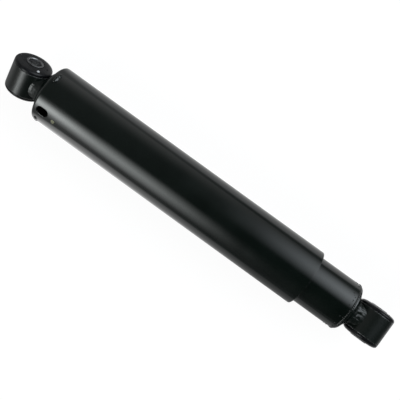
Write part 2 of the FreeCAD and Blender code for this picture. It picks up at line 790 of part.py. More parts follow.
# Dust tube: shoulder turned in over the cap above, curled edge below, slots to drain water
curl_centre = (dust_foot + DUST_CURL, dust_radius - DUST_CURL)
curl_lip = curl_centre[1] - DUST_CURL_LIP
dust_outline = turned(
    (dust_foot, 0),
    (dust_foot, curl_centre[1]),
    (quarter(curl_centre, DUST_CURL, 90), (curl_centre[0], dust_radius)),
    (shoulder_centre[0], dust_radius),
    (quarter(shoulder_centre, DUST_SHOULDER, 0), (dust_top, shoulder_centre[1])),
    (dust_top, 0),
)
dust_inside = turned(
    (dust_foot - DUST_WALL, 0),
    (dust_foot - DUST_WALL, curl_lip),
    (dust_foot + DUST_WALL, curl_lip),
    (dust_foot + DUST_WALL, curl_centre[1]),
    (quarter(curl_centre, DUST_CURL - DUST_WALL, 90), (curl_centre[0], dust_bore)),
    (shoulder_centre[0], dust_bore),
    (
        quarter(shoulder_centre, DUST_SHOULDER - DUST_WALL, 0),
        (dust_top - DUST_WALL, shoulder_centre[1]),
    ),
    (dust_top - DUST_WALL, lip_radius),
    (dust_top + DUST_WALL, lip_radius),
    (dust_top + DUST_WALL, 0),
)


def drain_slot(angle):
    """Obround cutter through one side of the dust tube."""
    straight = DRAIN_LENGTH - DRAIN_WIDTH
    half = DRAIN_WIDTH / 2
    place = dust_top - DRAIN_DROP
    low = FreeCAD.Vector(place - straight / 2, 0, tube_radius)
    high = FreeCAD.Vector(place + straight / 2, 0, tube_radius)
    cutter = Part.makeBox(straight, DRAIN_WIDTH, tube_radius, low - Y_AXIS * half)
    for end in (low, high):
        cutter = cutter.fuse(Part.makeCylinder(half, tube_radius, end, Z_AXIS))
    return turn_about_x(cutter.removeSplitter(), -angle)


dust_shell = dust_outline.cut(dust_inside)
dust_tube = solid_of(dust_shell.cut([drain_slot(angle) for angle in DRAIN_ANGLES]))


# Tack welds: short beads round the tube below its shoulder, each a spindle sunk until its crown stands proud
def tack_weld(angle):
    thick = (TACK_WIDTH**2 / 4 + TACK_PROUD**2) / (2 * TACK_PROUD)
    spindle = turned((-TACK_LENGTH / 2, 0), ((0, thick), (TACK_LENGTH / 2, 0)))
    spindle.rotate(ORIGIN, Z_AXIS, 90)
    spindle.translate(FreeCAD.Vector(dust_top - TACK_DROP, 0, dust_radius + TACK_PROUD - thick))
    return solid_of(turn_about_x(spindle, -angle).cut(dust_outline))


dust_tube_tack_welds = Part.makeCompound([tack_weld(angle) for angle in TACK_ANGLES])

pieces = {
    "base_cap": base_cap,
    "base_cap_weld": base_cap_weld,
    "reserve_tube": reserve_tube,
    "working_cylinder": working_cylinder,
    "base_valve_body": base_valve_body,
    "base_valve_bolt": base_valve_bolt,
    "base_valve_nut": base_valve_nut,
    "compression_shims": compression_shims,
    "base_check_plate": base_check_plate,
    "base_check_spring": base_check_spring,
    "piston_rod": piston_rod,
    "piston_nut": piston_nut,
    "valve_guide_sleeve": valve_guide_sleeve,
    "rebound_shims": rebound_shims,
    "rebound_valve_plate": rebound_valve_plate,
    "rebound_spring": rebound_spring,
    "piston": piston,
    "piston_band": piston_band,
    "check_spacer": check_spacer,
    "piston_check_plate": piston_check_plate,
    "piston_check_spring": piston_check_spring,
    "check_support_washer": check_support_washer,
    "rebound_stop_collar": rebound_stop_collar,
    "rebound_cushion": rebound_cushion,
    "rod_guide": rod_guide,
    "rod_guide_bush": rod_guide_bush,
    "guide_seal_ring": guide_seal_ring,
    "rod_seal": rod_seal,
    "seal_garter_spring": seal_garter_spring,
    "seal_cover": seal_cover,
    "dust_cap": dust_cap,
    "dust_tube": dust_tube,
    "dust_tube_tack_welds": dust_tube_tack_welds,
}
eyes = (
    ("lower", 0.0, 0.0, 1, base_filled),
    ("upper", EYE_TO_EYE, EYE_TWIST, -1, dust_cap_filled),
)
for end, eye_x, twist, towards, cap_filled in eyes:
    pieces[end + "_eye_ring"] = eye_placed(eye_ring(), eye_x, twist)
    pieces[end + "_bush_rubber"] = eye_placed(bush_rubber(), eye_x, twist)
    pieces[end + "_bush_sleeve"] = eye_placed(bush_sleeve(), eye_x, twist)
    pieces[end + "_eye_weld"] = saddle_weld(eye_x, twist, towards, cap_filled)

os.makedirs("parts", exist_ok=True)
for name, shape in pieces.items():
    shape.exportStep("parts/" + name + ".step")

extension = guide_foot - cushion_top - STOP_CLEARANCE / 4
print("extension travel", round(extension, 2))
print("body top", round(body_top, 2), "dust foot", round(dust_foot, 2), "dust top", round(dust_top, 2))
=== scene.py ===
"""Looks of a twin-tube shock absorber with a rubber-bushed eye at each end.

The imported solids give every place, in metres. Sizes of pieces are written here in millimetres and turned
into metres as each mesh is made; finishes, floor, light and camera are in metres. +X runs from the lower
eye to the upper eye, +Z is up.
"""

import math

import bmesh
import bpy
from mathutils import Matrix, Vector, noise


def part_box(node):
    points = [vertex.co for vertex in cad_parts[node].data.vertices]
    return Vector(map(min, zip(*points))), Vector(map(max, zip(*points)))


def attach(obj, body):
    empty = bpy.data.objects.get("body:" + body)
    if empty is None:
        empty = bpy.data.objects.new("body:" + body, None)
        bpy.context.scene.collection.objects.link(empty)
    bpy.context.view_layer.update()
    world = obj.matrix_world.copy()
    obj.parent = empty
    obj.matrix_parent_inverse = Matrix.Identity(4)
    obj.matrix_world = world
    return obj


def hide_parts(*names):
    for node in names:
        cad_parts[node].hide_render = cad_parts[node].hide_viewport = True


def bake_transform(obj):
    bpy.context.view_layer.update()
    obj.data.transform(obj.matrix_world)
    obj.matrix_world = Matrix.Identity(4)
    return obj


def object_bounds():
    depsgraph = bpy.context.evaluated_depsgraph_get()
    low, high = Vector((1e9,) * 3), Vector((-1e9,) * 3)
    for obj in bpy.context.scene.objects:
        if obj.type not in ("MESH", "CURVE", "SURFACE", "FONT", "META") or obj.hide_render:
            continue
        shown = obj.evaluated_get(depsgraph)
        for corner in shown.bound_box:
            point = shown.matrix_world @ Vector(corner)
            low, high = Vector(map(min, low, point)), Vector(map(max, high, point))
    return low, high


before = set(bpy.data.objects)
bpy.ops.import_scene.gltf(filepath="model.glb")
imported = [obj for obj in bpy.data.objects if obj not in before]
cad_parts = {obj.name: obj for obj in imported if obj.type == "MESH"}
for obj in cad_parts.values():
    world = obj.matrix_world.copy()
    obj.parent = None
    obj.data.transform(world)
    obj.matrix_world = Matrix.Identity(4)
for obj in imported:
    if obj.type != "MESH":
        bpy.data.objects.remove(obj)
cad_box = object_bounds()

# Base valve, hidden in the foot of the strut: a body pressed and sintered from iron powder, with drilled
# ports, and thin steel plates and shims held on it by a turned bolt, a nut and a finger spring.
SINTER_DARK = (0.085, 0.085, 0.090)
SINTER_LIGHT = (0.230, 0.230, 0.235)
VALVE_DARK = (0.300, 0.300, 0.310)
VALVE_LIGHT = (0.520, 0.520, 0.530)
BLUED_DARK = (0.045, 0.050, 0.065)
BLUED_LIGHT = (0.150, 0.155, 0.190)
NOISE_SPAN = (0.3, 0.7)
WIDE_SPAN = (0.25, 0.75)
WAVE_PHASE = 20
SAME_SPOT = 1e-7
SMOOTH_ANGLE = 40.0


def new_finish(name):
    """Material, node tree, shader and Object coordinates to build a finish on."""
    material = bpy.data.materials.new(name)
    material.use_nodes = True
    tree = material.node_tree
    shader = tree.nodes["Principled BSDF"]
    place = tree.nodes.new("ShaderNodeTexCoord").outputs["Object"]
    return material, tree, shader, place


def node(tree, kind, *values, **named):
    """New node: values fill its inputs in order, small-letter names are settings, capital ones inputs."""
    made = tree.nodes.new(kind)
    filled = list(zip(made.inputs, values))
    for label, value in named.items():
        if label.islower():
            setattr(made, label, value)
        else:
            filled.append((made.inputs[label.replace("_", " ")], value))
    for socket, value in filled:
        if isinstance(value, bpy.types.NodeSocket):
            tree.links.new(value, socket)
        else:
            socket.default_value = value
    return made


def grain(tree, place, cells, detail=2.0, stretch=(1.0, 1.0, 1.0)):
    """Noise with that many cells to the metre; a small stretch draws it out along an axis."""
    drawn_out = node(tree, "ShaderNodeMapping", Vector=place, Scale=stretch).outputs["Vector"]
    return node(tree, "ShaderNodeTexNoise", Vector=drawn_out, Scale=cells, Detail=detail).outputs["Fac"]


def tool_marks(tree, place, kind, pitch, waver):
    """Lines left by a turning or grinding tool: RINGS round the strut's axis, or BANDS along it."""
    scale = math.tau / (WAVE_PHASE * pitch)
    wave = node(tree, "ShaderNodeTexWave", Vector=place, Scale=scale, Distortion=waver, Detail=2.0)
    wave.wave_type = kind
    wave.bands_direction = "X"
    wave.rings_direction = "X"
    return wave.outputs["Fac"]


def tone(tree, value, dark, light, span=NOISE_SPAN):
    """Colour that goes from dark to light as value crosses a span."""
    ramp = node(tree, "ShaderNodeValToRGB", value)
    for stop, position, colour in zip(ramp.color_ramp.elements, span, (dark, light)):
        stop.position = position
        stop.color = (*colour, 1.0)
    return ramp.outputs["Color"]


def level(tree, value, start, end, span=NOISE_SPAN, shape="LINEAR"):
    """Number that goes from start to end as value crosses a span."""
    spread = node(tree, "ShaderNodeMapRange", value, *span, start, end, interpolation_type=shape)
    return spread.outputs["Result"]


def surface(tree, shader, colour, pattern, rough, metal=0.0, span=NOISE_SPAN):
    """Gives a finish its colour, its share of metal, and a roughness that follows a pattern."""
    tree.links.new(colour, shader.inputs["Base Color"])
    tree.links.new(level(tree, pattern, *rough, span), shader.inputs["Roughness"])
    shader.inputs["Metallic"].default_value = metal


def relief(tree, shader, height, strength, depth):
    """Adds a bump, its depth in metres, on top of the bumps that the shader already has."""
    bump = node(tree, "ShaderNodeBump", Strength=strength, Distance=depth, Height=height)
    normal = shader.inputs["Normal"]
    if normal.is_linked:
        tree.links.new(normal.links[0].from_socket, bump.inputs["Normal"])
    tree.links.new(bump.outputs["Normal"], normal)


def dress(material, *names):
    """Gives solids that keep their own mesh a finish."""
    for name in names:
        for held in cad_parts[name].material_slots:
            held.material = material


def sintered_iron_finish():
    material, tree, shader, place = new_finish("sintered_iron_pressed")
    powder = grain(tree, place, cells=900, detail=4.0)
    stain = grain(tree, place, cells=70, detail=3.0)
    colour = tone(tree, powder, SINTER_DARK, SINTER_LIGHT)
    surface(tree, shader, colour, stain, rough=(0.42, 0.62), metal=0.85)
    relief(tree, shader, powder, strength=0.35, depth=0.00015)
    return material


def tooled_finish(name, dark, light, rough, cells, detail, marks, bump, depth, span=WIDE_SPAN, along=1.0):
    """Bare steel: one noise gives colour and roughness, and the marks of a tool give the relief."""
    material, tree, shader, place = new_finish(name)
    lines = tool_marks(tree, place, **marks)
    film = grain(tree, place, cells, detail, (along, 1.0, 1.0))
    surface(tree, shader, tone(tree, film, dark, light, span), film, rough, metal=1.0)
    relief(tree, shader, lines, bump, depth)
    return material


def spring_steel_finish():
    material, tree, shader, place = new_finish("spring_steel_blued")
    heat = grain(tree, place, cells=160, detail=3.0)
    drawn = grain(tree, place, cells=2500, stretch=(0.1, 1.0, 1.0))
    colour = tone(tree, heat, BLUED_DARK, BLUED_LIGHT, WIDE_SPAN)
    surface(tree, shader, colour, drawn, rough=(0.25, 0.45), metal=1.0)
    relief(tree, shader, drawn, strength=0.1, depth=0.00005)
    return material


def settled(bm, name):
    """Plain mesh of what was built in an edit mesh."""
    mesh = bpy.data.meshes.new(name)
    bm.to_mesh(mesh)
    bm.free()
    return mesh


def in_scene(name, data):
    """New object at the origin."""
    thing = bpy.data.objects.new(name, data)
    bpy.context.scene.collection.objects.link(thing)
    return thing


def finished(name, mesh, material, sharp=SMOOTH_ANGLE):
    """Object of a finished mesh: smooth, with its hard edges kept."""
    mesh.shade_smooth()
    mesh.set_sharp_from_angle(angle=math.radians(sharp))
    mesh.materials.clear()
    mesh.materials.append(material)
    return in_scene(name, mesh)


def live_spring(node):
    """Smooth copy of a spring's solid in blued spring steel, shown in its place."""
    bm = bmesh.new()
    bm.from_mesh(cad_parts[node].data)
    bmesh.ops.remove_doubles(bm, verts=bm.verts, dist=SAME_SPOT)
    spring = finished(node + "_live", settled(bm, node + "_live"), spring_steel)
    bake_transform(spring)
    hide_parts(node)


sintered_iron = sintered_iron_finish()
valve_steel = tooled_finish(
    "valve_steel_turned", VALVE_DARK, VALVE_LIGHT, rough=(0.22, 0.38), cells=120, detail=3.0,
    marks=dict(kind="RINGS", pitch=0.0004, waver=1.5), bump=0.15, depth=0.00005,
)
spring_steel = spring_steel_finish()
dress(sintered_iron, "base_valve_body")
dress(valve_steel, "base_valve_bolt", "base_valve_nut", "compression_shims", "base_check_plate")
live_spring("base_check_spring")

# Working cylinder, hidden inside the reserve tube: cold-drawn steel tube, honed inside for the piston's
# band, standing on the base valve and closed at the top by the rod guide.
DRAWN_DARK = (0.260, 0.255, 0.250)
DRAWN_LIGHT = (0.430, 0.425, 0.415)

cylinder_steel = tooled_finish(
    "cylinder_steel_drawn", DRAWN_DARK, DRAWN_LIGHT, rough=(0.25, 0.40), cells=1400, detail=3.0,
    marks=dict(kind="BANDS", pitch=0.0007, waver=3.0), bump=0.08, depth=0.00004, along=0.02,
)
dress(cylinder_steel, "working_cylinder")

# Piston and its valves, on the lower end of the rod: a sintered piston with two rings of ports, a split
# sealing band, steel plates, shims and spacers, and springs, all clamped by one flanged nut.
BAND_DARK = (0.030, 0.045, 0.042)
BAND_LIGHT = (0.075, 0.095, 0.088)


def one_grain_finish(name, dark, light, rough, cells, depth, detail=4.0, bump=0.1, metal=0.0, along=1.0):
    """Finish whose colour, roughness and relief follow one noise; a small along draws it out on X."""
    material, tree, shader, place = new_finish(name)
    pattern = grain(tree, place, cells, detail, (along, 1.0, 1.0))
    surface(tree, shader, tone(tree, pattern, dark, light), pattern, rough, metal)
    relief(tree, shader, pattern, bump, depth)
    return material


band_resin = one_grain_finish(
    "band_filled_resin", BAND_DARK, BAND_LIGHT, rough=(0.38, 0.52), cells=1300, depth=0.00005
)
dress(sintered_iron, "piston")
dress(valve_steel, "piston_nut", "valve_guide_sleeve", "rebound_shims", "rebound_valve_plate")
dress(valve_steel, "check_spacer", "piston_check_plate", "check_support_washer")
live_spring("rebound_spring")
live_spring("piston_check_spring")
dress(band_resin, "piston_band")

# Piston rod and its end stop: hard-chromed ground steel bar, with a turned steel collar rolled into a
# groove and a cast urethane cushion that meets the rod guide when the strut is fully drawn out.
CHROME_DARK = (0.560, 0.565, 0.575)
CHROME_LIGHT = (0.700, 0.705, 0.715)
URETHANE_DARK = (0.300, 0.150, 0.030)
URETHANE_LIGHT = (0.480, 0.270, 0.070)

chrome = tooled_finish(
    "chrome_ground", CHROME_DARK, CHROME_LIGHT, rough=(0.07, 0.15), cells=90, detail=4.0,
    marks=dict(kind="BANDS", pitch=0.00025, waver=4.0), bump=0.03, depth=0.00003, span=NOISE_SPAN,
)
urethane = one_grain_finish(
    "cushion_urethane_cast", URETHANE_DARK, URETHANE_LIGHT, rough=(0.35, 0.50), cells=110, depth=0.0002
)
dress(chrome, "piston_rod")
dress(valve_steel, "rebound_stop_collar")
dress(urethane, "rebound_cushion")

# Rod guide with its bearing and seals: a sintered guide between cylinder and reserve tube, a dry bronze
# bush, a rubber lip seal with its garter spring, a ring seal and a steel cover disc above them.
BRONZE_DARK = (0.200, 0.105, 0.040)
BRONZE_LIGHT = (0.420, 0.245, 0.100)
SEAL_DARK = (0.010, 0.010, 0.011)
SEAL_LIGHT = (0.026, 0.026, 0.028)

bronze = one_grain_finish(
    "bush_bronze_dry", BRONZE_DARK, BRONZE_LIGHT, rough=(0.30, 0.50), cells=500, depth=0.00005,
    metal=0.9, along=0.15,
)
seal_rubber = one_grain_finish(
    "seal_rubber_moulded", SEAL_DARK, SEAL_LIGHT, rough=(0.40, 0.58), cells=350, depth=0.00008
)
dress(sintered_iron, "rod_guide")
dress(bronze, "rod_guide_bush")
dress(seal_rubber, "guide_seal_ring", "rod_seal")
dress(spring_steel, "seal_garter_spring")
dress(cylinder_steel, "seal_cover")

# Reserve tube: drawn steel tube, rolled in over the seal cover at its top. It is sprayed black together
# with the welded foot, so the semi-gloss paint has a faint orange peel and thins a little on edges.
MM = 0.001
TUBE_WALL = 2.0
TUBE_ROLL = 3.0
TUBE_LIP_RADIUS = 19.0
TUBE_EDGE = 0.4
PAINT_DARK = (0.0028, 0.0054, 0.0043)
PAINT_LIGHT = (0.0045, 0.0078, 0.0064)
PAINT_THIN = (0.024, 0.026, 0.025)
CHIP_SPAN = (0.42, 0.68)
RIM_SUPPORT = 0.8
LONG_RUN = 4 * RIM_SUPPORT
SHORTEST_EDGE = 0.2


def maths(tree, operation, one, two=0.0):
    """One step of arithmetic on node outputs or plain numbers."""
    return node(tree, "ShaderNodeMath", one, two, operation=operation).outputs["Value"]


def wear_share(tree):
    """The share, from 0 to 1, that the mesh's own wear attribute gives."""
    return node(tree, "ShaderNodeAttribute", attribute_name="wear").outputs["Fac"]


def overlaid(tree, share, under, over):
    """A node's colour with a plain colour laid over it by a share."""
    mix = node(tree, "ShaderNodeMix", data_type="RGBA", Factor=share, A=under, B=(*over, 1.0))
    return mix.outputs["Result"]


def black_paint_finish(name, worn_and_lit_edge, rough):
    material, tree, shader, place = new_finish(name)
    cloud = grain(tree, place, cells=35, detail=4.0)
    peel = grain(tree, place, cells=420, detail=1.0)
    specks = grain(tree, place, cells=1900, detail=1.0)
    chips = grain(tree, place, cells=300, detail=4.0)
    # Sharp edges turn paler: worn paint, and on the eye rings also a painted highlight along the edges.
    worn_and_lit_share = maths(tree, "MULTIPLY", wear_share(tree), level(tree, chips, 0.0, 1.0, CHIP_SPAN))
    colour = overlaid(tree, worn_and_lit_share, tone(tree, cloud, PAINT_DARK, PAINT_LIGHT), worn_and_lit_edge)
    surface(tree, shader, colour, cloud, rough, span=WIDE_SPAN)
    relief(tree, shader, peel, strength=0.025, depth=0.0003)
    relief(tree, shader, specks, strength=0.02, depth=0.00008)
    return material


def reach(name):
    """Foot, top and outer radius of a piece that lies along the strut, in millimetres."""
    low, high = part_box(name)
    radius = max(-low.y, high.y, -low.z, high.z)
    return low.x / MM, high.x / MM, radius / MM


def arc(centre, radius, start, end, steps=8):
    """Outline points (x, r) round a centre, angles in degrees from +X towards the outside."""
    points = []
    for i in range(steps + 1):
        angle = math.radians(start + (end - start) * i / steps)
        points.append((centre[0] + radius * math.cos(angle), centre[1] + radius * math.sin(angle)))
    return points


def supported(outline, closed):
    """The outline with a point close to each end of its long runs, to hold the wear to the rims."""
    points = []
    count = len(outline)
    for i in range(count):
        points.append(outline[i])
        if i == count - 1 and not closed:
            break
        here, after = Vector(outline[i]), Vector(outline[(i + 1) % count])
        run = (after - here).length
        if run > LONG_RUN:
            points.append(tuple(here.lerp(after, RIM_SUPPORT / run)))
            points.append(tuple(after.lerp(here, RIM_SUPPORT / run)))
    return points


def rim_wear(points, closed):
    """How sharply the outline turns outwards at each point, per millimetre, from 0 to 1."""
    count = len(points)
    area = sum(points[i - 1][0] * points[i][1] - points[i][0] * points[i - 1][1] for i in range(count))
    side = 1.0 if area > 0 else -1.0
    wear = []
    for i in range(count):
        if not closed and i in (0, count - 1):
            wear.append(0.0)
            continue
        before = Vector(points[i]) - Vector(points[i - 1])
        after = Vector(points[(i + 1) % count]) - Vector(points[i])
        bend = side * math.atan2(before.x * after.y - before.y * after.x, before.dot(after))
        length = max(SHORTEST_EDGE, min(before.length, after.length))
        wear.append(max(0.0, min(1.0, bend / length)))
    return wear


def hoop(x, radius, steps=180):
    """Circle of points about the strut's axis."""
    angles = [math.tau * i / steps for i in range(steps)]
    return [(x, radius * math.cos(angle), radius * math.sin(angle)) for angle in angles]


def ring_of(bm, points):
    """Vertices of an edit mesh at points in millimetres."""
    return [bm.verts.new(Vector(point) * MM) for point in points]


def skin(bm, rings, closed):
    """Faces from each ring of vertices to the next; a ring may be a single vertex."""
    following = rings[1:] + rings[:1] if closed else rings[1:]
    for one, two in zip(rings, following):
        for i in range(max(len(one), len(two))):
            j = i + 1
            corners = (one[i % len(one)], one[j % len(one)], two[j % len(two)], two[i % len(two)])
            bm.faces.new(list(dict.fromkeys(corners)))


def turned(name, outline, material, steps=256, place=Matrix.Identity(4)):
    """Solid of revolution about X. An outline that starts on the axis also ends on it."""
    closed = outline[0][1] > 0
    points = supported(outline, closed)
    bm = bmesh.new()
    wear_layer = bm.verts.layers.float.new("wear")
    rings = []
    for (x, radius), wear in zip(points, rim_wear(points, closed)):
        ring = ring_of(bm, hoop(x, radius, steps if radius > 0 else 1))
        for vertex in ring:
            vertex[wear_layer] = wear
        rings.append(ring)
    skin(bm, rings, closed)
    bmesh.ops.recalc_face_normals(bm, faces=bm.faces)
    bm.transform(place)
    return finished(name, settled(bm, name), material)


black_paint = black_paint_finish("black_paint_sprayed", PAINT_THIN, rough=(0.13, 0.18))
tube_foot, tube_top, tube_radius = reach("reserve_tube")
tube_bore = tube_radius - TUBE_WALL
reserve_outline = [
    (tube_foot, tube_bore),
    *arc((tube_foot + TUBE_EDGE, tube_radius - TUBE_EDGE), TUBE_EDGE, 180, 90, steps=4),
    *arc((tube_top - TUBE_ROLL, tube_radius - TUBE_ROLL), TUBE_ROLL, 90, 0),
    (tube_top, TUBE_LIP_RADIUS),
    (tube_top - TUBE_WALL, TUBE_LIP_RADIUS),
    (tube_top - TUBE_WALL, tube_bore),
]
reserve_shell = turned("reserve_tube_shell", reserve_outline, black_paint)
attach(reserve_shell, "damper_body")
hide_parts("reserve_tube")

# Base cap: a dish deep-drawn from thick sheet that plugs the foot of the reserve tube. Its flat crown
# carries the lower eye, its side ends in a short land, and its rim stands just inside the tube's edge for
# the seam weld.
CAP_CROWN = 9.0
CAP_WALL = 4.0
CAP_DEPTH = 10.5
CAP_BULGE = 2.4
CAP_SHOULDER_INSET = 0.5
CAP_FIT = 0.05
CAP_LAND = 3.4
CAP_LAND_TAPER = 0.4
CAP_CORNER = 1.2
CAP_CORNER_END = 97


def bowed(start, middle, end, steps=24):
    """Outline points on the arc through three points."""
    a, b, c = (complex(*point) for point in (start, middle, end))
    w = (c - a) / (b - a)
    centre = (b - a) * (w - abs(w) ** 2) / (2j * w.imag) + a
    radius = abs(a - centre)
    first = math.atan2((a - centre).imag, (a - centre).real)
    sweep = math.atan2(((c - centre) / (a - centre)).imag, ((c - centre) / (a - centre)).real)
    points = []
    for i in range(steps + 1):
        angle = first + sweep * i / steps
        points.append((centre.real + radius * math.cos(angle), centre.imag + radius * math.sin(angle)))
    return points


cap_foot, cap_top, _ = reach("base_cap")
cap_rim = cap_foot + CAP_DEPTH
cap_shoulder = tube_radius - CAP_SHOULDER_INSET
cap_skirt = tube_bore - CAP_FIT
cap_bow = ((cap_foot + cap_rim - CAP_BULGE) / 2, (CAP_CROWN + cap_shoulder) / 2 + CAP_BULGE)
land_foot = cap_rim - CAP_LAND
land_radius = cap_shoulder - CAP_LAND_TAPER
dome = bowed((cap_foot, CAP_CROWN), cap_bow, (cap_rim, cap_shoulder))
base_cap_outline = [
    (cap_foot, 0.0),
    *(point for point in dome if point[0] < land_foot - CAP_CORNER),
    *arc((land_foot + CAP_CORNER, land_radius - CAP_CORNER), CAP_CORNER, 180, CAP_CORNER_END, steps=6),
    (cap_rim, cap_shoulder),
    (cap_rim, cap_skirt),
    (cap_top, cap_skirt),
    (cap_top, cap_skirt - CAP_WALL),
    (cap_rim + CAP_WALL / 2, cap_skirt - CAP_WALL),
    (cap_foot + CAP_WALL, CAP_CROWN),
    (cap_foot + CAP_WALL, 0.0),
]
base_dish = turned("base_cap_dish", base_cap_outline, black_paint)
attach(base_dish, "damper_body")
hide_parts("base_cap")

# Seam weld round the joint of cap and tube: one machine-laid bead with close, shallow ripples, painted
# over. A few drops of spatter are stuck to the tube beside it.
SEAM_BEAD = 1.3
SEAM_INSET = 0.8
SEAM_RIPPLES = 74.0
SEAM_RIPPLE_DEPTH = 0.10
SEAM_LUMPS = 0.25
SEAM_STEPS = 740
BEAD_FACETS = 20
BEAD_LAG = 0.3
LUMP_CELLS = 260.0
WELD_CREASE = 60.0
SPATTER_BAND = 9.0
SPATTER_STEPS = 96
SPATTER_COUNT = 46
SPATTER_SMALLEST = 0.15
SPATTER_LARGEST = 0.8
SPATTER_SEED = 7


def node_group(name, **inputs):
    """Node group with inputs of the given kinds and one piece that comes out; and its input sockets."""
    tree = bpy.data.node_groups.new(name, "GeometryNodeTree")
    for label, kind in inputs.items():
        tree.interface.new_socket(label, in_out="INPUT", socket_type="NodeSocket" + kind)
    tree.interface.new_socket("Piece", in_out="OUTPUT", socket_type="NodeSocketGeometry")
    return tree, tree.nodes.new("NodeGroupInput").outputs


def hand_out(tree, geometry, finish):
    """Last steps of a node group: instances are made real and the finish is set."""
    whole = node(tree, "GeometryNodeRealizeInstances", Geometry=geometry).outputs["Geometry"]
    dressed = node(tree, "GeometryNodeSetMaterial", Geometry=whole, Material=finish)
    node(tree, "NodeGroupOutput", Piece=dressed.outputs["Geometry"])


def plain_mesh(holder, name, material, sharp=SMOOTH_ANGLE):
    """The holder's evaluated shape as a finished piece; the holder itself goes."""
    bpy.context.view_layer.update()
    graph = bpy.context.evaluated_depsgraph_get()
    mesh = bpy.data.meshes.new_from_object(holder.evaluated_get(graph))
    mesh.name = name
    bpy.data.objects.remove(holder)
    return finished(name, mesh, material, sharp)


def grown(holder, group, name, material, sharp=SMOOTH_ANGLE, **sizes):
    """Finished piece that a node group makes on a holder; sizes in metres."""
    given = {**sizes, "Finish": material}
    modifier = holder.modifiers.new(group.name, "NODES")
    modifier.node_group = group
    for item in group.interface.items_tree:
        if item.name in given:
            modifier[item.identifier] = given[item.name]
    return plain_mesh(holder, name, material, sharp)


def bead_tree():
    """Node group that sweeps a round bead along a mesh path and ripples it across its run."""
    tree, given = node_group(
        "rippled_bead", Path="Geometry", Radius="Float", Ripples="Float", Ripple_depth="Float", Lag="Float",
        Lumps="Float", Steps="Int", Finish="Material",
    )
    path = node(tree, "GeometryNodeMeshToCurve", Mesh=given["Path"]).outputs["Curve"]
    evened = node(tree, "GeometryNodeResampleCurve", Curve=path, Count=given["Steps"]).outputs["Curve"]
    measure = node(tree, "GeometryNodeSplineParameter").outputs["Factor"]

    def marked(curve, label):
        mark = node(tree, "GeometryNodeStoreNamedAttribute", Geometry=curve, Name=label, Value=measure)
        return mark.outputs["Geometry"]

    def share(label):
        return node(tree, "GeometryNodeInputNamedAttribute", Name=label).outputs["Attribute"]

    def wave(turns):
        return maths(tree, "SINE", maths(tree, "MULTIPLY", turns, math.tau))

    ring = node(tree, "GeometryNodeCurvePrimitiveCircle", Resolution=BEAD_FACETS, Radius=1.0)
    swept = node(
        tree, "GeometryNodeCurveToMesh", Curve=marked(evened, "along"),
        Profile_Curve=marked(ring.outputs["Curve"], "across"), Scale=given["Radius"], Fill_Caps=True,
    )
    lag = maths(tree, "MULTIPLY", maths(tree, "ABSOLUTE", wave(share("across"))), given["Lag"])
    phase = maths(tree, "ADD", maths(tree, "MULTIPLY", share("along"), given["Ripples"]), lag)
    ripple = maths(tree, "MULTIPLY", wave(phase), given["Ripple_depth"])
    uneven = node(tree, "ShaderNodeTexNoise", Scale=LUMP_CELLS, Detail=2.0).outputs["Fac"]
    lump = maths(tree, "MULTIPLY", maths(tree, "SUBTRACT", uneven, 0.5), given["Lumps"])
    normal = node(tree, "GeometryNodeInputNormal").outputs["Normal"]
    swell = maths(tree, "ADD", ripple, lump)
    outwards = node(tree, "ShaderNodeVectorMath", operation="SCALE", Vector=normal, Scale=swell)
    shift = outwards.outputs["Vector"]
    rippled = node(tree, "GeometryNodeSetPosition", Geometry=swept.outputs["Mesh"], Offset=shift)
    hand_out(tree, rippled.outputs["Geometry"], given["Finish"])
    return tree


def path_object(points, closed):
    """Mesh of edges through points in millimetres, to sweep along."""
    mesh = bpy.data.meshes.new("path")
    edges = [(i, i + 1) for i in range(len(points) - 1)]
    if closed:
        edges.append((len(points) - 1, 0))
    mesh.from_pydata([Vector(point) * MM for point in points], edges, [])
    return in_scene("path", mesh)


def bead(name, points, material, radius, steps, ripples=0.0, depth=0.0, lumps=0.0):
    """A painted bead round a closed path; sizes in millimetres."""
    path = path_object(points, closed=True)
    return grown(
        path, bead_group, name, material, WELD_CREASE, Radius=radius * MM, Ripples=ripples,
        Ripple_depth=depth * MM, Lag=BEAD_LAG, Lumps=lumps * MM, Steps=steps,
    )


def strew(tree, points, shape, size, finish):
    """Ends a node group with one copy of a shape on each point."""
    copies = node(
        tree, "GeometryNodeInstanceOnPoints", Points=points, Instance=shape.outputs["Mesh"], Scale=size
    )
    hand_out(tree, copies.outputs["Instances"], finish)


def spatter_tree():
    """Node group that sticks small round drops on a surface, at random places and sizes."""
    tree, given = node_group(
        "weld_spatter", Surface="Geometry", Density="Float", Smallest="Float", Largest="Float", Seed="Int",
        Finish="Material",
    )
    places = node(
        tree, "GeometryNodeDistributePointsOnFaces", Mesh=given["Surface"], Density=given["Density"],
        Seed=given["Seed"],
    )
    drop = node(tree, "GeometryNodeMeshIcoSphere", Radius=1.0, Subdivisions=2)
    size = node(
        tree, "FunctionNodeRandomValue", data_type="FLOAT", Min=given["Smallest"], Max=given["Largest"],
        Seed=given["Seed"],
    )
    strew(tree, places.outputs["Points"], drop, size.outputs["Value"], given["Finish"])
    return tree


bead_group = bead_tree()
seam_path = hoop(tube_foot, tube_radius - SEAM_INSET)
seam = bead(
    "base_seam_bead", seam_path, black_paint, SEAM_BEAD, SEAM_STEPS, SEAM_RIPPLES, SEAM_RIPPLE_DEPTH,
    SEAM_LUMPS,
)
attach(seam, "damper_body")
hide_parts("base_cap_weld")

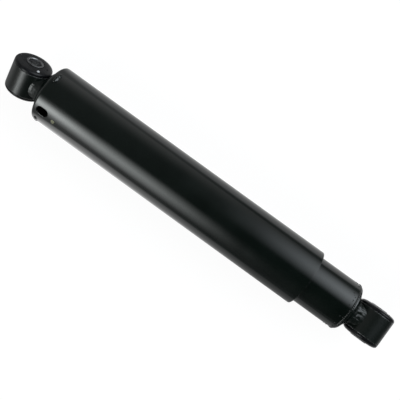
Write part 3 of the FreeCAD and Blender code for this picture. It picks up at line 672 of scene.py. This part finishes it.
band_bm = bmesh.new()
band_rings = []
for x in (tube_foot + SEAM_BEAD, tube_foot + SPATTER_BAND):
    band_rings.append(ring_of(band_bm, hoop(x, tube_radius, SPATTER_STEPS)))
skin(band_bm, band_rings, closed=False)
band_area = math.tau * tube_radius * (SPATTER_BAND - SEAM_BEAD) * MM * MM
band = in_scene("spatter_band", settled(band_bm, "spatter_band"))
spatter = grown(
    band, spatter_tree(), "base_weld_spatter", black_paint, Density=SPATTER_COUNT / band_area,
    Smallest=SPATTER_SMALLEST * MM, Largest=SPATTER_LARGEST * MM, Seed=SPATTER_SEED,
)
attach(spatter, "damper_body")

# Eye rings: lengths of thick-walled tube, turned to width with broken edges and welded on before the
# paint. The lower bore lies level across the strut and the upper one is turned about its length.
EYE_BORE = 16.9
EYE_EDGE = 0.7
# Pale colour of the eye rings' sharp edges: partly worn paint, partly a painted highlight along the edges.
EYE_WORN_AND_LIT_EDGE = (0.110, 0.112, 0.112)
EYES = {"lower": ("damper_body", "lower_sleeve", 1.0), "upper": ("rod_assembly", "upper_sleeve", -1.0)}
EYE_TWIST = {"lower": 0.0, "upper": -31.0}


def spun(degrees, axis):
    """Turn about an axis."""
    return Matrix.Rotation(math.radians(degrees), 4, axis)


def moved(x, y, z):
    """Shift by millimetres."""
    return Matrix.Translation(Vector((x, y, z)) * MM)


def eye_place(end):
    """Matrix that stands a piece turned about X on an eye's bore."""
    low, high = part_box(end + "_eye_ring")
    middle = (low + high) / 2
    return Matrix.Translation(middle) @ spun(EYE_TWIST[end], "X") @ spun(90, "Z")


lower_ring_low, lower_ring_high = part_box("lower_eye_ring")
eye_radius = (lower_ring_high.x - lower_ring_low.x) / 2 / MM
eye_half = (lower_ring_high.y - lower_ring_low.y) / 2 / MM
ring_outline = [
    (-eye_half, EYE_BORE),
    *arc((-eye_half + EYE_EDGE, eye_radius - EYE_EDGE), EYE_EDGE, 180, 90, steps=5),
    *arc((eye_half - EYE_EDGE, eye_radius - EYE_EDGE), EYE_EDGE, 90, 0, steps=5),
    (eye_half, EYE_BORE),
]
eye_paint = black_paint_finish("black_paint_on_eyes", EYE_WORN_AND_LIT_EDGE, rough=(0.27, 0.34))
for end, (body, _, _) in EYES.items():
    ring = turned(end + "_eye_ring_turned", ring_outline, eye_paint, place=eye_place(end))
    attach(ring, body)
    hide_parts(end + "_eye_ring")

# Saddle welds: a hand-laid fillet all round the foot of each eye, from the flanks of the ring down to the
# crown of the end cap, hollow across and a little lumpy under the paint.
SADDLE_SIDE = 16.8
SADDLE_END = 13.0
SADDLE_SPREAD = 2.6
SADDLE_END_SPREAD = 1.0
SADDLE_SQUARE = 0.7
SADDLE_LEAN = (-0.5, 0.3, 0.8)
SADDLE_HOLLOW = 1.1
SADDLE_SINK = 0.2
SADDLE_ROOT = 0.6
SADDLE_RIPPLES = 30
SADDLE_RIPPLE_DEPTH = 0.05
SADDLE_LUMP = {"lower": 0.9, "upper": 0.5}
SADDLE_LUMP_SIZE = 3.6
SADDLE_STEPS = 14
CROWN_GAP = 0.4
CROWN_FLAT = 9.0
CROWN_FALL = {"lower": 0.031, "upper": 0.018}


def fillet_section(angle, end):
    """Points (x from the eye, along the bore, across it) round the weld at an angle about its foot."""
    along = math.copysign(abs(math.cos(angle)) ** SADDLE_SQUARE, math.cos(angle))
    across = math.copysign(abs(math.sin(angle)) ** SADDLE_SQUARE, math.sin(angle))
    ripple = SADDLE_RIPPLE_DEPTH * math.sin(SADDLE_RIPPLES * angle)
    side = (SADDLE_SIDE + ripple) * across
    upper_toe = Vector((math.sqrt(eye_radius**2 - side**2) - SADDLE_SINK, SADDLE_END * along, side))
    spread = Vector((0.0, (SADDLE_END + SADDLE_END_SPREAD) * along, (SADDLE_SIDE + SADDLE_SPREAD) * across))
    drop = CROWN_FALL[end] * max(0.0, spread.length - CROWN_FLAT) ** 2
    lower_toe = spread + Vector((eye_radius + CROWN_GAP + drop + SADDLE_SINK, 0.0, 0.0))
    outward = Vector([lean * way for lean, way in zip(SADDLE_LEAN, (1.0, along, across))]) * abs(across)
    points = []
    for i in range(SADDLE_STEPS + 1):
        share = i / SADDLE_STEPS
        point = upper_toe.lerp(lower_toe, share)
        lump = SADDLE_LUMP[end] * noise.noise(point / SADDLE_LUMP_SIZE)
        swell = ripple + lump - SADDLE_HOLLOW
        points.append(point + outward * swell * 4 * share * (1 - share))
    root_x = eye_radius + CROWN_GAP / 2
    points.append(Vector((root_x, SADDLE_ROOT * upper_toe.y, SADDLE_ROOT * upper_toe.z)))
    return points


def fillet_weld(end, towards, steps=360):
    """Mesh of one saddle weld, closed round the eye's foot."""
    twist = spun(EYE_TWIST[end], "X")
    eye_x = eye_place(end).translation.x / MM
    bm = bmesh.new()
    rings = []
    for i in range(steps):
        section = fillet_section(math.tau * i / steps, end)
        spots = [twist @ Vector((eye_x + towards * x, along, across)) for x, along, across in section]
        rings.append(ring_of(bm, spots))
    skin(bm, rings, closed=True)
    bmesh.ops.recalc_face_normals(bm, faces=bm.faces)
    return settled(bm, end + "_eye_saddle_fillet")


for end, (body, _, towards) in EYES.items():
    weld = finished(end + "_eye_saddle_fillet", fillet_weld(end, towards), eye_paint, WELD_CREASE)
    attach(weld, body)
    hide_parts(end + "_eye_weld")

# Rubber bushes: moulded natural rubber pressed into each eye, with a domed lip over both edges of the
# ring, fine ribs across the lip's rim and a mould nub. A small pale patch on the upper lip is a painted
# highlight that stands in for a lamp's glint on the rubber.
RUBBER_BORE = 9.35
RUBBER_CORE = 16.85
RUBBER_LIP = 20.3
RUBBER_FOOT = 14.55
RUBBER_EDGE = 15.6
RUBBER_FACE = 19.4
RUBBER_CROWN = 10.6
RUBBER_ROUND = 2.3
RUBBER_TUCK = 0.3
RUBBER_STEPS = 36
RUBBER_DARK = (0.0056, 0.0060, 0.0068)
RUBBER_LIGHT = (0.0120, 0.0125, 0.0138)
RUBBER_SHINE = 0.2
RIB_COUNT = 76
RIB_PROUD = 0.16
RIB_WIDTH = 0.50
NUB_RADIUS = 1.0
NUB_ROOT = 0.6
NUB_CIRCLE = 14.5
NUB_CLOCK = -12.5
NUB_SINK = 0.2
# Painted highlight on the upper lip: size, place and pale colours of the patch that stands in for a glint.
GLINT_RADIUS = 1.6
GLINT_THICK = 0.3
GLINT_ROOT = 0.3
GLINT_BOW = 0.7
GLINT_STRETCH = 1.3
GLINT_CIRCLE = 15.8
GLINT_CLOCK = 43.7
GLINT_LEAN = 12.0
GLINT_SINK = 0.05
PAINTED_GLINT_DARK = (0.520, 0.530, 0.545)
PAINTED_GLINT_LIGHT = (0.840, 0.850, 0.860)


def bush_rubber_finish():
    material, tree, shader, place = new_finish("bush_rubber_moulded")
    bloom = grain(tree, place, cells=160, detail=4.0)
    skin = grain(tree, place, cells=1500)
    surface(tree, shader, tone(tree, bloom, RUBBER_DARK, RUBBER_LIGHT), bloom, rough=(0.20, 0.32))
    shader.inputs["Specular IOR Level"].default_value = RUBBER_SHINE
    relief(tree, shader, skin, strength=0.06, depth=0.0001)
    relief(tree, shader, bloom, strength=0.05, depth=0.0004)
    return material


def rib_tree():
    """Node group that lays one spindle-shaped rib, along the bore, on each point of a mesh."""
    tree, given = node_group(
        "lip_ribs", Points="Geometry", Length="Float", Width="Float", Finish="Material"
    )
    spindle = node(tree, "GeometryNodeMeshUVSphere", Segments=10, Rings=6, Radius=1.0)
    size = node(tree, "ShaderNodeCombineXYZ", given["Length"], given["Width"], given["Width"])
    strew(tree, given["Points"], spindle, size.outputs["Vector"], given["Finish"])
    return tree


def lip_height(radius):
    """How far the lip's dome stands from the middle of the bush at a radius."""
    share = max(0.0, (radius - RUBBER_CROWN) / (RUBBER_LIP - RUBBER_CROWN))
    return RUBBER_EDGE + (RUBBER_FACE - RUBBER_EDGE) * (1 - share**RUBBER_ROUND) ** (1 / RUBBER_ROUND)


def lip_outline(side):
    """Outer part of the bush's outline at one end, from its bore over the dome to the lip's foot."""
    quarter = arc((0.0, RUBBER_CROWN), RUBBER_LIP - RUBBER_CROWN, 0, 90, RUBBER_STEPS)
    points = [(RUBBER_FACE - RUBBER_TUCK, RUBBER_BORE)]
    points += [(lip_height(radius), radius) for _, radius in quarter]
    points += [(RUBBER_FOOT, RUBBER_LIP), (RUBBER_FOOT, RUBBER_CORE)]
    return [(side * x, r) for x, r in points]


def on_lip(end, circle, clock, sink, lean=0.0):
    """Matrix that stands a piece turned about X on the -Y face of a bush's lip."""
    spot = moved(sink - lip_height(circle), circle, 0.0)
    return eye_place(end) @ spun(clock, "X") @ spot @ spun(180 - lean, "Z")


bush_rubber = bush_rubber_finish()
rib_group = rib_tree()
rubber_outline = lip_outline(1) + lip_outline(-1)[::-1]
rib_middle = (RUBBER_FOOT + RUBBER_EDGE) / 2
rib_circle = RUBBER_LIP + RIB_PROUD - RIB_WIDTH / 2
rib_points = hoop(-rib_middle, rib_circle, RIB_COUNT) + hoop(rib_middle, rib_circle, RIB_COUNT)
nub_outline = [
    (-NUB_ROOT, 0.0),
    (-NUB_ROOT, NUB_RADIUS),
    *arc((0.0, 0.0), NUB_RADIUS, 90, 0)[1:-1],
    (NUB_RADIUS, 0.0),
]
for end, (body, _, _) in EYES.items():
    rubber = turned(end + "_bush_rubber_moulded", rubber_outline, bush_rubber, place=eye_place(end))
    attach(rubber, body)
    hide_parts(end + "_bush_rubber")

    lip_ribs = grown(
        path_object(rib_points, closed=False), rib_group, end + "_bush_lip_ribs", bush_rubber,
        Length=(RUBBER_EDGE - RUBBER_FOOT) / 2 * MM, Width=RIB_WIDTH / 2 * MM,
    )
    lip_ribs.data.transform(eye_place(end))
    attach(lip_ribs, body)

    nub_place = on_lip(end, NUB_CIRCLE, NUB_CLOCK, NUB_SINK)
    nub = turned(end + "_bush_mould_nub", nub_outline, bush_rubber, steps=32, place=nub_place)
    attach(nub, body)

# Pale, glossy patch that paints the glint of a lamp on the upper lip.
painted_glint = one_grain_finish(
    "painted_glint", PAINTED_GLINT_DARK, PAINTED_GLINT_LIGHT, rough=(0.12, 0.25), cells=700, depth=0.0002, detail=2.0
)
glint_outline = [
    (-GLINT_ROOT, 0.0),
    (-GLINT_ROOT, GLINT_RADIUS),
    (GLINT_THICK * GLINT_BOW, GLINT_RADIUS * GLINT_BOW),
    (GLINT_THICK, 0.0),
]
glint_patch = turned("upper_bush_painted_glint", glint_outline, painted_glint, steps=40)
for vertex in glint_patch.data.vertices:
    vertex.co.z *= GLINT_STRETCH
glint_patch.data.transform(on_lip("upper", GLINT_CIRCLE, GLINT_CLOCK, GLINT_SINK, GLINT_LEAN))
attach(glint_patch, EYES["upper"][0])

# Bush sleeves: cut lengths of steel tube that the mounting bolt clamps. The faced ends stand a little
# proud of the rubber and stay bare, dulled by handling; the bore is as drawn.
SLEEVE_BORE = 7.1
SLEEVE_RADIUS = 9.3
SLEEVE_CHAMFER = 0.4
SLEEVE_EDGE = 0.25
SLEEVE_DARK = (0.120, 0.122, 0.125)
SLEEVE_LIGHT = (0.230, 0.233, 0.238)
SLEEVE_DRAWN = (0.500, 0.505, 0.510)


def sleeve_finish():
    material, tree, shader, place = new_finish("sleeve_steel_faced")
    stain = grain(tree, place, cells=220, detail=4.0)
    scratch = grain(tree, place, cells=2200, stretch=(1.0, 0.15, 0.15))
    colour = overlaid(tree, wear_share(tree), tone(tree, stain, SLEEVE_DARK, SLEEVE_LIGHT), SLEEVE_DRAWN)
    surface(tree, shader, colour, scratch, rough=(0.32, 0.48), metal=1.0)
    relief(tree, shader, scratch, strength=0.12, depth=0.00006)
    return material


sleeve_steel = sleeve_finish()
sleeve_low, sleeve_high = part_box("lower_bush_sleeve")
sleeve_half = (sleeve_high.y - sleeve_low.y) / 2 / MM
drawn_reach = (SLEEVE_BORE + SLEEVE_CHAMFER / 2) * MM
sleeve_outline = [
    (-sleeve_half, SLEEVE_BORE + SLEEVE_CHAMFER),
    *arc((-sleeve_half + SLEEVE_EDGE, SLEEVE_RADIUS - SLEEVE_EDGE), SLEEVE_EDGE, 180, 90, steps=3),
    *arc((sleeve_half - SLEEVE_EDGE, SLEEVE_RADIUS - SLEEVE_EDGE), SLEEVE_EDGE, 90, 0, steps=3),
    (sleeve_half, SLEEVE_BORE + SLEEVE_CHAMFER),
    (sleeve_half - SLEEVE_CHAMFER, SLEEVE_BORE),
    (-sleeve_half + SLEEVE_CHAMFER, SLEEVE_BORE),
]
for end, (_, sleeve_body, _) in EYES.items():
    sleeve = turned(end + "_bush_sleeve_faced", sleeve_outline, sleeve_steel, steps=160)
    for vertex, drawn in zip(sleeve.data.vertices, sleeve.data.attributes["wear"].data):
        drawn.value = float(math.hypot(vertex.co.y, vertex.co.z) < drawn_reach)
    sleeve.data.transform(eye_place(end))
    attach(sleeve, sleeve_body)
    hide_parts(end + "_bush_sleeve")

# Dust cap: a thick pressed crown welded to the rod's end under the upper eye. Its rim seats inside the
# shoulder of the dust tube.
DUST_CROWN = 9.5
DUST_CAP_BOSS = 5.0
DUST_CAP_WALL = 4.6
DUST_CAP_BULGE = 3.0
DUST_WALL = 1.6
DUST_SHOULDER = 2.8
DUST_LIP_REACH = 1.2
ROD_END = 7.05

dust_foot, dust_top, dust_radius = reach("dust_tube")
dust_cap_foot, dust_crown, _ = reach("dust_cap")
shoulder_x = dust_top - DUST_SHOULDER
shoulder_r = dust_radius - DUST_SHOULDER
lip_under = dust_top - DUST_WALL - CAP_FIT
rim_turn = DUST_SHOULDER - DUST_WALL - CAP_FIT
dome_foot = shoulder_r - DUST_LIP_REACH - 2 * CAP_FIT
dome_bow = ((dust_crown + lip_under + DUST_CAP_BULGE) / 2, (DUST_CROWN + dome_foot) / 2 + DUST_CAP_BULGE)
dust_cap_outline = [
    (dust_crown - DUST_CAP_BOSS, ROD_END),
    (dust_crown, ROD_END),
    *bowed((dust_crown, DUST_CROWN), dome_bow, (lip_under, dome_foot)),
    *arc((shoulder_x, shoulder_r), rim_turn, 0, 90, steps=6),
    (dust_cap_foot, shoulder_r + rim_turn),
    (dust_cap_foot, dome_foot),
    (dust_crown - DUST_CAP_BOSS, DUST_CROWN + DUST_CAP_WALL / 2),
]
dust_dome = turned("dust_cap_crown", dust_cap_outline, black_paint)
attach(dust_dome, "rod_assembly")
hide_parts("dust_cap")

# Dust tube: thin drawn tube that slides over the reserve tube, its shoulder spun in over the cap, its
# open edge curled. Two slots near the shoulder let water out; their punched edges are rounded by paint.
DUST_CURL = 0.5
DUST_CURL_LIP = 2.5
DRAIN_LENGTH = 15.0
DRAIN_WIDTH = 10.4
DRAIN_DROP = 12.3
DRAIN_ANGLES = (40.0, 220.0)
DRAIN_BEAD = 0.7
DRAIN_STEPS = 160
CUTTER_WALLS = (-6, 2)

curl = (dust_foot + DUST_CURL, dust_radius - DUST_CURL)
dust_outline = [
    (dust_foot, curl[1] - DUST_CURL_LIP),
    *arc(curl, DUST_CURL, 180, 90, steps=10),
    *arc((shoulder_x, shoulder_r), DUST_SHOULDER, 90, 0, steps=12),
    (dust_top, shoulder_r - DUST_LIP_REACH),
    (dust_top - DUST_WALL, shoulder_r - DUST_LIP_REACH),
    *arc((shoulder_x, shoulder_r), DUST_SHOULDER - DUST_WALL, 0, 90, steps=8),
    *arc(curl, DUST_CURL - DUST_WALL, 90, 180, steps=5),
    (dust_foot + DUST_WALL, curl[1] - DUST_CURL_LIP),
]


def clocked(angle):
    """Turn about the strut that brings the top of the tube to an angle from +Z towards +Y."""
    return spun(-angle, "X")


def obround(length, width, steps=24):
    """Points (along, across) round a slot with half-round ends."""
    half_round = arc(((length - width) / 2, 0.0), width / 2, -90, 90, steps)
    return half_round + [(-along, -across) for along, across in half_round]


drain_edge = obround(DRAIN_LENGTH, DRAIN_WIDTH)
drain_place = dust_top - DRAIN_DROP


def slot_cutter(angle):
    """Prism through one side of the dust tube."""
    bm = bmesh.new()
    rims = []
    for walls in CUTTER_WALLS:
        depth = dust_radius + walls * DUST_WALL
        rim = ring_of(bm, [(drain_place + along, across, depth) for along, across in drain_edge])
        rims.append(rim)
        bm.faces.new(rim)
    skin(bm, rims, closed=False)
    bmesh.ops.recalc_face_normals(bm, faces=bm.faces)
    bm.transform(clocked(angle))
    return in_scene("slot_cutter", settled(bm, "slot_cutter"))


dust_blank = turned("dust_tube_blank", dust_outline, black_paint, steps=320)
cutters = [slot_cutter(angle) for angle in DRAIN_ANGLES]
for cutter in cutters:
    cut = dust_blank.modifiers.new("slot", "BOOLEAN")
    cut.object = cutter
    cut.solver = "EXACT"
dust_shell = plain_mesh(dust_blank, "dust_tube_shell", black_paint)
for cutter in cutters:
    bpy.data.objects.remove(cutter)
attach(dust_shell, "rod_assembly")
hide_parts("dust_tube")

for number, angle in enumerate(DRAIN_ANGLES, 1):
    edge = []
    for along, across in drain_edge:
        height = math.sqrt((dust_radius - DRAIN_BEAD) ** 2 - across**2)
        edge.append(clocked(angle) @ Vector((drain_place + along, across, height)))
    rim_bead = bead("drain_slot_rim_%d" % number, edge, black_paint, DRAIN_BEAD, DRAIN_STEPS)
    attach(rim_bead, "rod_assembly")

# Tack welds: three short runs of weld, laid by hand across the tube below its shoulder, that fix it to
# the cap. Each is a blunt, slightly lumpy bead, fused into the wall and painted over. A row gives a tack's
# angle about the strut, its length and how far it stands proud.
TACKS = ((-30.0, 13.0, 2.5), (73.0, 11.5, 1.65), (200.0, 12.0, 1.3))
TACK_WIDTH = 6.2
TACK_BLUNT = 0.5
TACK_ROOT = 1.2
TACK_DROP = 6.2
TACK_LUMP = 0.5
TACK_LUMP_PITCH = 0.45
TACK_STEPS = 32

for number, (angle, tack_length, tack_proud) in enumerate(TACKS, 1):
    tack_thick = (TACK_WIDTH**2 / 4 + tack_proud**2) / (2 * tack_proud)
    tack_outline = [(-tack_length / 2, 0.0)]
    for i in range(1, TACK_STEPS):
        swing = math.pi * i / TACK_STEPS
        tack_x = -tack_length / 2 * math.cos(swing)
        tack_outline.append((tack_x, tack_thick * math.sin(swing) ** TACK_BLUNT))
    tack_outline.append((tack_length / 2, 0.0))
    tack = turned("dust_tube_tack_%d" % number, tack_outline, black_paint, steps=48)
    for vertex in tack.data.vertices:
        spot = vertex.co / MM * TACK_LUMP_PITCH + Vector((number, 0, 0))
        swell = noise.noise(spot) * TACK_LUMP - TACK_LUMP
        vertex.co += vertex.normal * swell * MM
        vertex.co.z = max(vertex.co.z, (tack_thick - tack_proud - TACK_ROOT) * MM)
    tack_spot = moved(dust_top - TACK_DROP, 0.0, dust_radius + tack_proud - tack_thick)
    tack.data.transform(clocked(angle) @ tack_spot @ spun(90, "Z"))
    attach(tack, "rod_assembly")
    if number == 1:
        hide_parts("dust_tube_tack_welds")

# Inspection mark: one dab of yellow-green paint put on the finished dust tube with a stick, a little
# thicker in its middle and ragged at its edge.
DAB_RADIUS = 2.2
DAB_THICK = 0.25
DAB_ROOT = 0.3
DAB_LIP = 0.05
DAB_BOW = ((0.8, 0.75), (1.0, 0.4), (1.0, 0.0))
DAB_X = 392.0
DAB_ANGLE = 45.0
DAB_RAGGED = 0.22
DAB_LOBES = 1.7
DAB_DARK = (0.150, 0.150, 0.085)
DAB_LIGHT = (0.290, 0.285, 0.170)

dab_paint = one_grain_finish(
    "inspection_dab_paint", DAB_DARK, DAB_LIGHT, rough=(0.35, 0.55), cells=900, depth=0.0001,
    detail=3.0, bump=0.15,
)
dab_outline = [(-DAB_ROOT, 0.0), (-DAB_ROOT, DAB_RADIUS), (DAB_LIP, DAB_RADIUS)]
dab_outline += [(DAB_THICK * high, DAB_RADIUS * out) for high, out in DAB_BOW]
dab = turned("inspection_dab", dab_outline, dab_paint, steps=48)
for vertex in dab.data.vertices:
    heading = Vector((0.0, vertex.co.y, vertex.co.z)).normalized()
    ragged = 1 + DAB_RAGGED * noise.noise(heading * DAB_LOBES)
    vertex.co.y *= ragged
    vertex.co.z *= ragged
dab.data.transform(clocked(DAB_ANGLE) @ moved(DAB_X, 0.0, dust_radius) @ spun(-90, "Y"))
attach(dab, "rod_assembly")

# Floor: a white sheet laid on a grey table, lined up with the camera, that the strut lies on. The camera
# sees it white, with a faint shadow under the strut. Mirrored in the paint, its +Y side is brightest beside
# the upper eye, and it fades into the table.
FLOOR_HALF = 4.0
FLOOR_COLOUR = (0.12, 0.12, 0.12)
SHEET_LIFT = 0.937
TABLE_LIFT = 0.20
SHEET_MIDDLE = (0.2222, 0.0, 0.0)
SHEET_TURN = 35.86
SHEET_EDGE = (0.250, 0.300)
SHEET_SQUARE = 8
SHEET_SHINE = (0.34, 1.60)
SHEET_SPAN = (0.12, 0.41)
FAR_SHINE = 0.72
FAR_EDGE = (-0.03, 0.03)
SHINE_REACH = (0.16, 0.28)
SHINE_END = (0.425, 0.475)
END_SHINE = 0.20
TABLE_SHINE = (0.05, 0.45)
TABLE_SPAN = (0.15, 0.58)
SMOOTH = "SMOOTHSTEP"


def floor_finish():
    material = bpy.data.materials.new("white_sheet_on_table")
    material.use_nodes = True
    tree = material.node_tree
    tree.nodes.clear()

    def mixed(share, one, two):
        return maths(tree, "ADD", one, maths(tree, "MULTIPLY", share, maths(tree, "SUBTRACT", two, one)))

    def axes(vector):
        parts = node(tree, "ShaderNodeSeparateXYZ", vector).outputs
        return parts["X"], parts["Y"]

    place = node(tree, "ShaderNodeTexCoord").outputs["Object"]
    turn = (0.0, 0.0, math.radians(SHEET_TURN))
    lined_up = node(
        tree, "ShaderNodeMapping", vector_type="TEXTURE", Vector=place, Location=SHEET_MIDDLE, Rotation=turn
    )
    powers = [maths(tree, "POWER", side, SHEET_SQUARE) for side in axes(lined_up.outputs["Vector"])]
    from_middle = maths(tree, "POWER", maths(tree, "ADD", *powers), 1 / SHEET_SQUARE)
    beyond = level(tree, from_middle, 0.0, 1.0, SHEET_EDGE, SMOOTH)
    x, y = axes(place)
    near_sheet = level(tree, x, *SHEET_SHINE, SHEET_SPAN)
    near_side = level(tree, y, 0.0, 1.0, FAR_EDGE)
    table = level(tree, x, *TABLE_SHINE, TABLE_SPAN)
    away = level(tree, maths(tree, "ABSOLUTE", y), 0.0, 1.0, SHINE_REACH)
    last = level(tree, x, 1.0, END_SHINE, SHINE_END)
    sheet = maths(tree, "MULTIPLY", mixed(near_side, FAR_SHINE, near_sheet), last)
    shine = mixed(maths(tree, "MAXIMUM", beyond, away), sheet, table)
    seen = node(tree, "ShaderNodeLightPath").outputs
    mirrored = maths(tree, "MAXIMUM", seen["Is Glossy Ray"], seen["Is Transmission Ray"])
    plain = maths(tree, "MULTIPLY", seen["Is Camera Ray"], mixed(beyond, SHEET_LIFT, TABLE_LIFT))
    strength = maths(tree, "ADD", plain, maths(tree, "MULTIPLY", mirrored, shine))
    paper = node(tree, "ShaderNodeBsdfDiffuse", Color=(*FLOOR_COLOUR, 1.0)).outputs["BSDF"]
    lift = node(tree, "ShaderNodeEmission", Strength=strength).outputs["Emission"]
    both = node(tree, "ShaderNodeAddShader", paper, lift).outputs["Shader"]
    node(tree, "ShaderNodeOutputMaterial", Surface=both)
    return material


floor_z = cad_box[0].z
floor_mesh = bpy.data.meshes.new("floor")
corners = [(-1, -1), (1, -1), (1, 1), (-1, 1)]
floor_mesh.from_pydata([(x * FLOOR_HALF, y * FLOOR_HALF, floor_z) for x, y in corners], [], [(0, 1, 2, 3)])
floor_mesh.materials.append(floor_finish())
floor = in_scene("floor", floor_mesh)

# Studio light: a pale wall all round that darkens overhead, one large soft window low on the +Y side that
# is brightest towards the upper eye, and a smaller, bluish one on the -Y side towards the lower eye.
WALL_LEVEL = 0.30
WALL_SLOPE = (0.75, -0.09, 0.0)
WALL_LEAST = 0.03
WALL_END = (0.42, 0.80)
WALL_HEIGHT = (0.02, 0.80)
ROOF_LEVEL = 0.055
ROOF_SLOPE = (0.25, -0.03, 0.0)
ROOF_LEAST = 0.01
GRAZING = 0.05
WHITE = (1.0, 1.0, 1.0)
DAYLIGHT = (0.94, 0.99, 0.98)
SKY = (0.88, 0.95, 1.0)
ALONG_STRUT = (1.0, 0.0, 0.0)
UPWARDS = (0.0, 0.0, 1.0)
WINDOWS = (
    dict(side=1, rise=34, tall=(0.30, 0.41), along=0.212, long=(0.180, 0.14), bright=4.8, tint=DAYLIGHT),
    dict(side=1, rise=37, tall=(0.20, 0.20), along=0.315, long=(0.05, 0.07), bright=8.0, tint=DAYLIGHT),
    dict(side=-1, rise=44, tall=(0.466, 0.56), along=-0.505, long=(0.295, 0.19), bright=4.5, tint=SKY),
)

world = bpy.data.worlds.new("studio")
bpy.context.scene.world = world
world.use_nodes = True
studio = world.node_tree
studio.nodes.clear()
looking = node(studio, "ShaderNodeTexCoord").outputs["Generated"]


def dotted(direction):
    """How far a viewing direction points along another."""
    dot = node(studio, "ShaderNodeVectorMath", looking, direction, operation="DOT_PRODUCT")
    return dot.outputs["Value"]


def faded(value, full, none):
    """1 while value is below full, falling smoothly to 0 at none."""
    return level(studio, value, 1.0, 0.0, (full, none), SMOOTH)


def glow(colour, strength):
    """Light of one colour, as strong in each direction as strength says."""
    light = node(studio, "ShaderNodeBackground", Color=(*colour, 1.0), Strength=strength)
    return light.outputs["Background"]


def window_light(side, rise, tall, along, long, bright, tint):
    """Soft-edged band of light beside the strut: so tall about its rise, so long about its place on X."""
    rise = math.radians(rise)
    ahead = dotted((0.0, side * math.cos(rise), math.sin(rise)))
    above = dotted((0.0, -side * math.sin(rise), math.cos(rise)))
    height = maths(studio, "DIVIDE", above, ahead)
    place = maths(studio, "SUBTRACT", dotted(ALONG_STRUT), along)
    mask = maths(studio, "GREATER_THAN", ahead, GRAZING)
    for offset, (half, soft) in ((height, tall), (place, long)):
        offset = maths(studio, "ABSOLUTE", offset)
        mask = maths(studio, "MULTIPLY", mask, faded(offset, half - soft, half + soft))
    return glow(tint, maths(studio, "MULTIPLY", mask, bright))


wall_side = maths(studio, "ADD", dotted(WALL_SLOPE), WALL_LEVEL)
wall_lit = maths(studio, "MULTIPLY", wall_side, faded(dotted(ALONG_STRUT), *WALL_END))
wall_share = faded(dotted(UPWARDS), *WALL_HEIGHT)
wall_glow = maths(studio, "MULTIPLY", wall_share, maths(studio, "MAXIMUM", wall_lit, WALL_LEAST))
roof = maths(studio, "MAXIMUM", maths(studio, "ADD", dotted(ROOF_SLOPE), ROOF_LEVEL), ROOF_LEAST)
total = glow(WHITE, maths(studio, "ADD", wall_glow, roof))
for window in WINDOWS:
    total = node(studio, "ShaderNodeAddShader", total, window_light(**window)).outputs["Shader"]
node(studio, "ShaderNodeOutputWorld", Surface=total)

# Camera: straight above the lying strut, turned so that the strut runs across the picture from the upper
# eye at the top left to the lower eye at the bottom right.
CAMERA_PLACE = (0.21646, -0.00003, 0.63418)
CAMERA_TURN = (0.353, 0.346, -144.140)
CAMERA_LENS = 53.54
CAMERA_SENSOR = 36.0
CAMERA_NEAREST = 0.01

lens = bpy.data.cameras.new("camera")
lens.sensor_width = CAMERA_SENSOR
lens.lens = CAMERA_LENS
lens.clip_start = CAMERA_NEAREST
camera = in_scene("camera", lens)
camera.location = CAMERA_PLACE
camera.rotation_euler = [math.radians(angle) for angle in CAMERA_TURN]
bpy.context.scene.camera = camera
bpy.context.scene.view_settings.view_transform = "Standard"

bpy.context.view_layer.update()
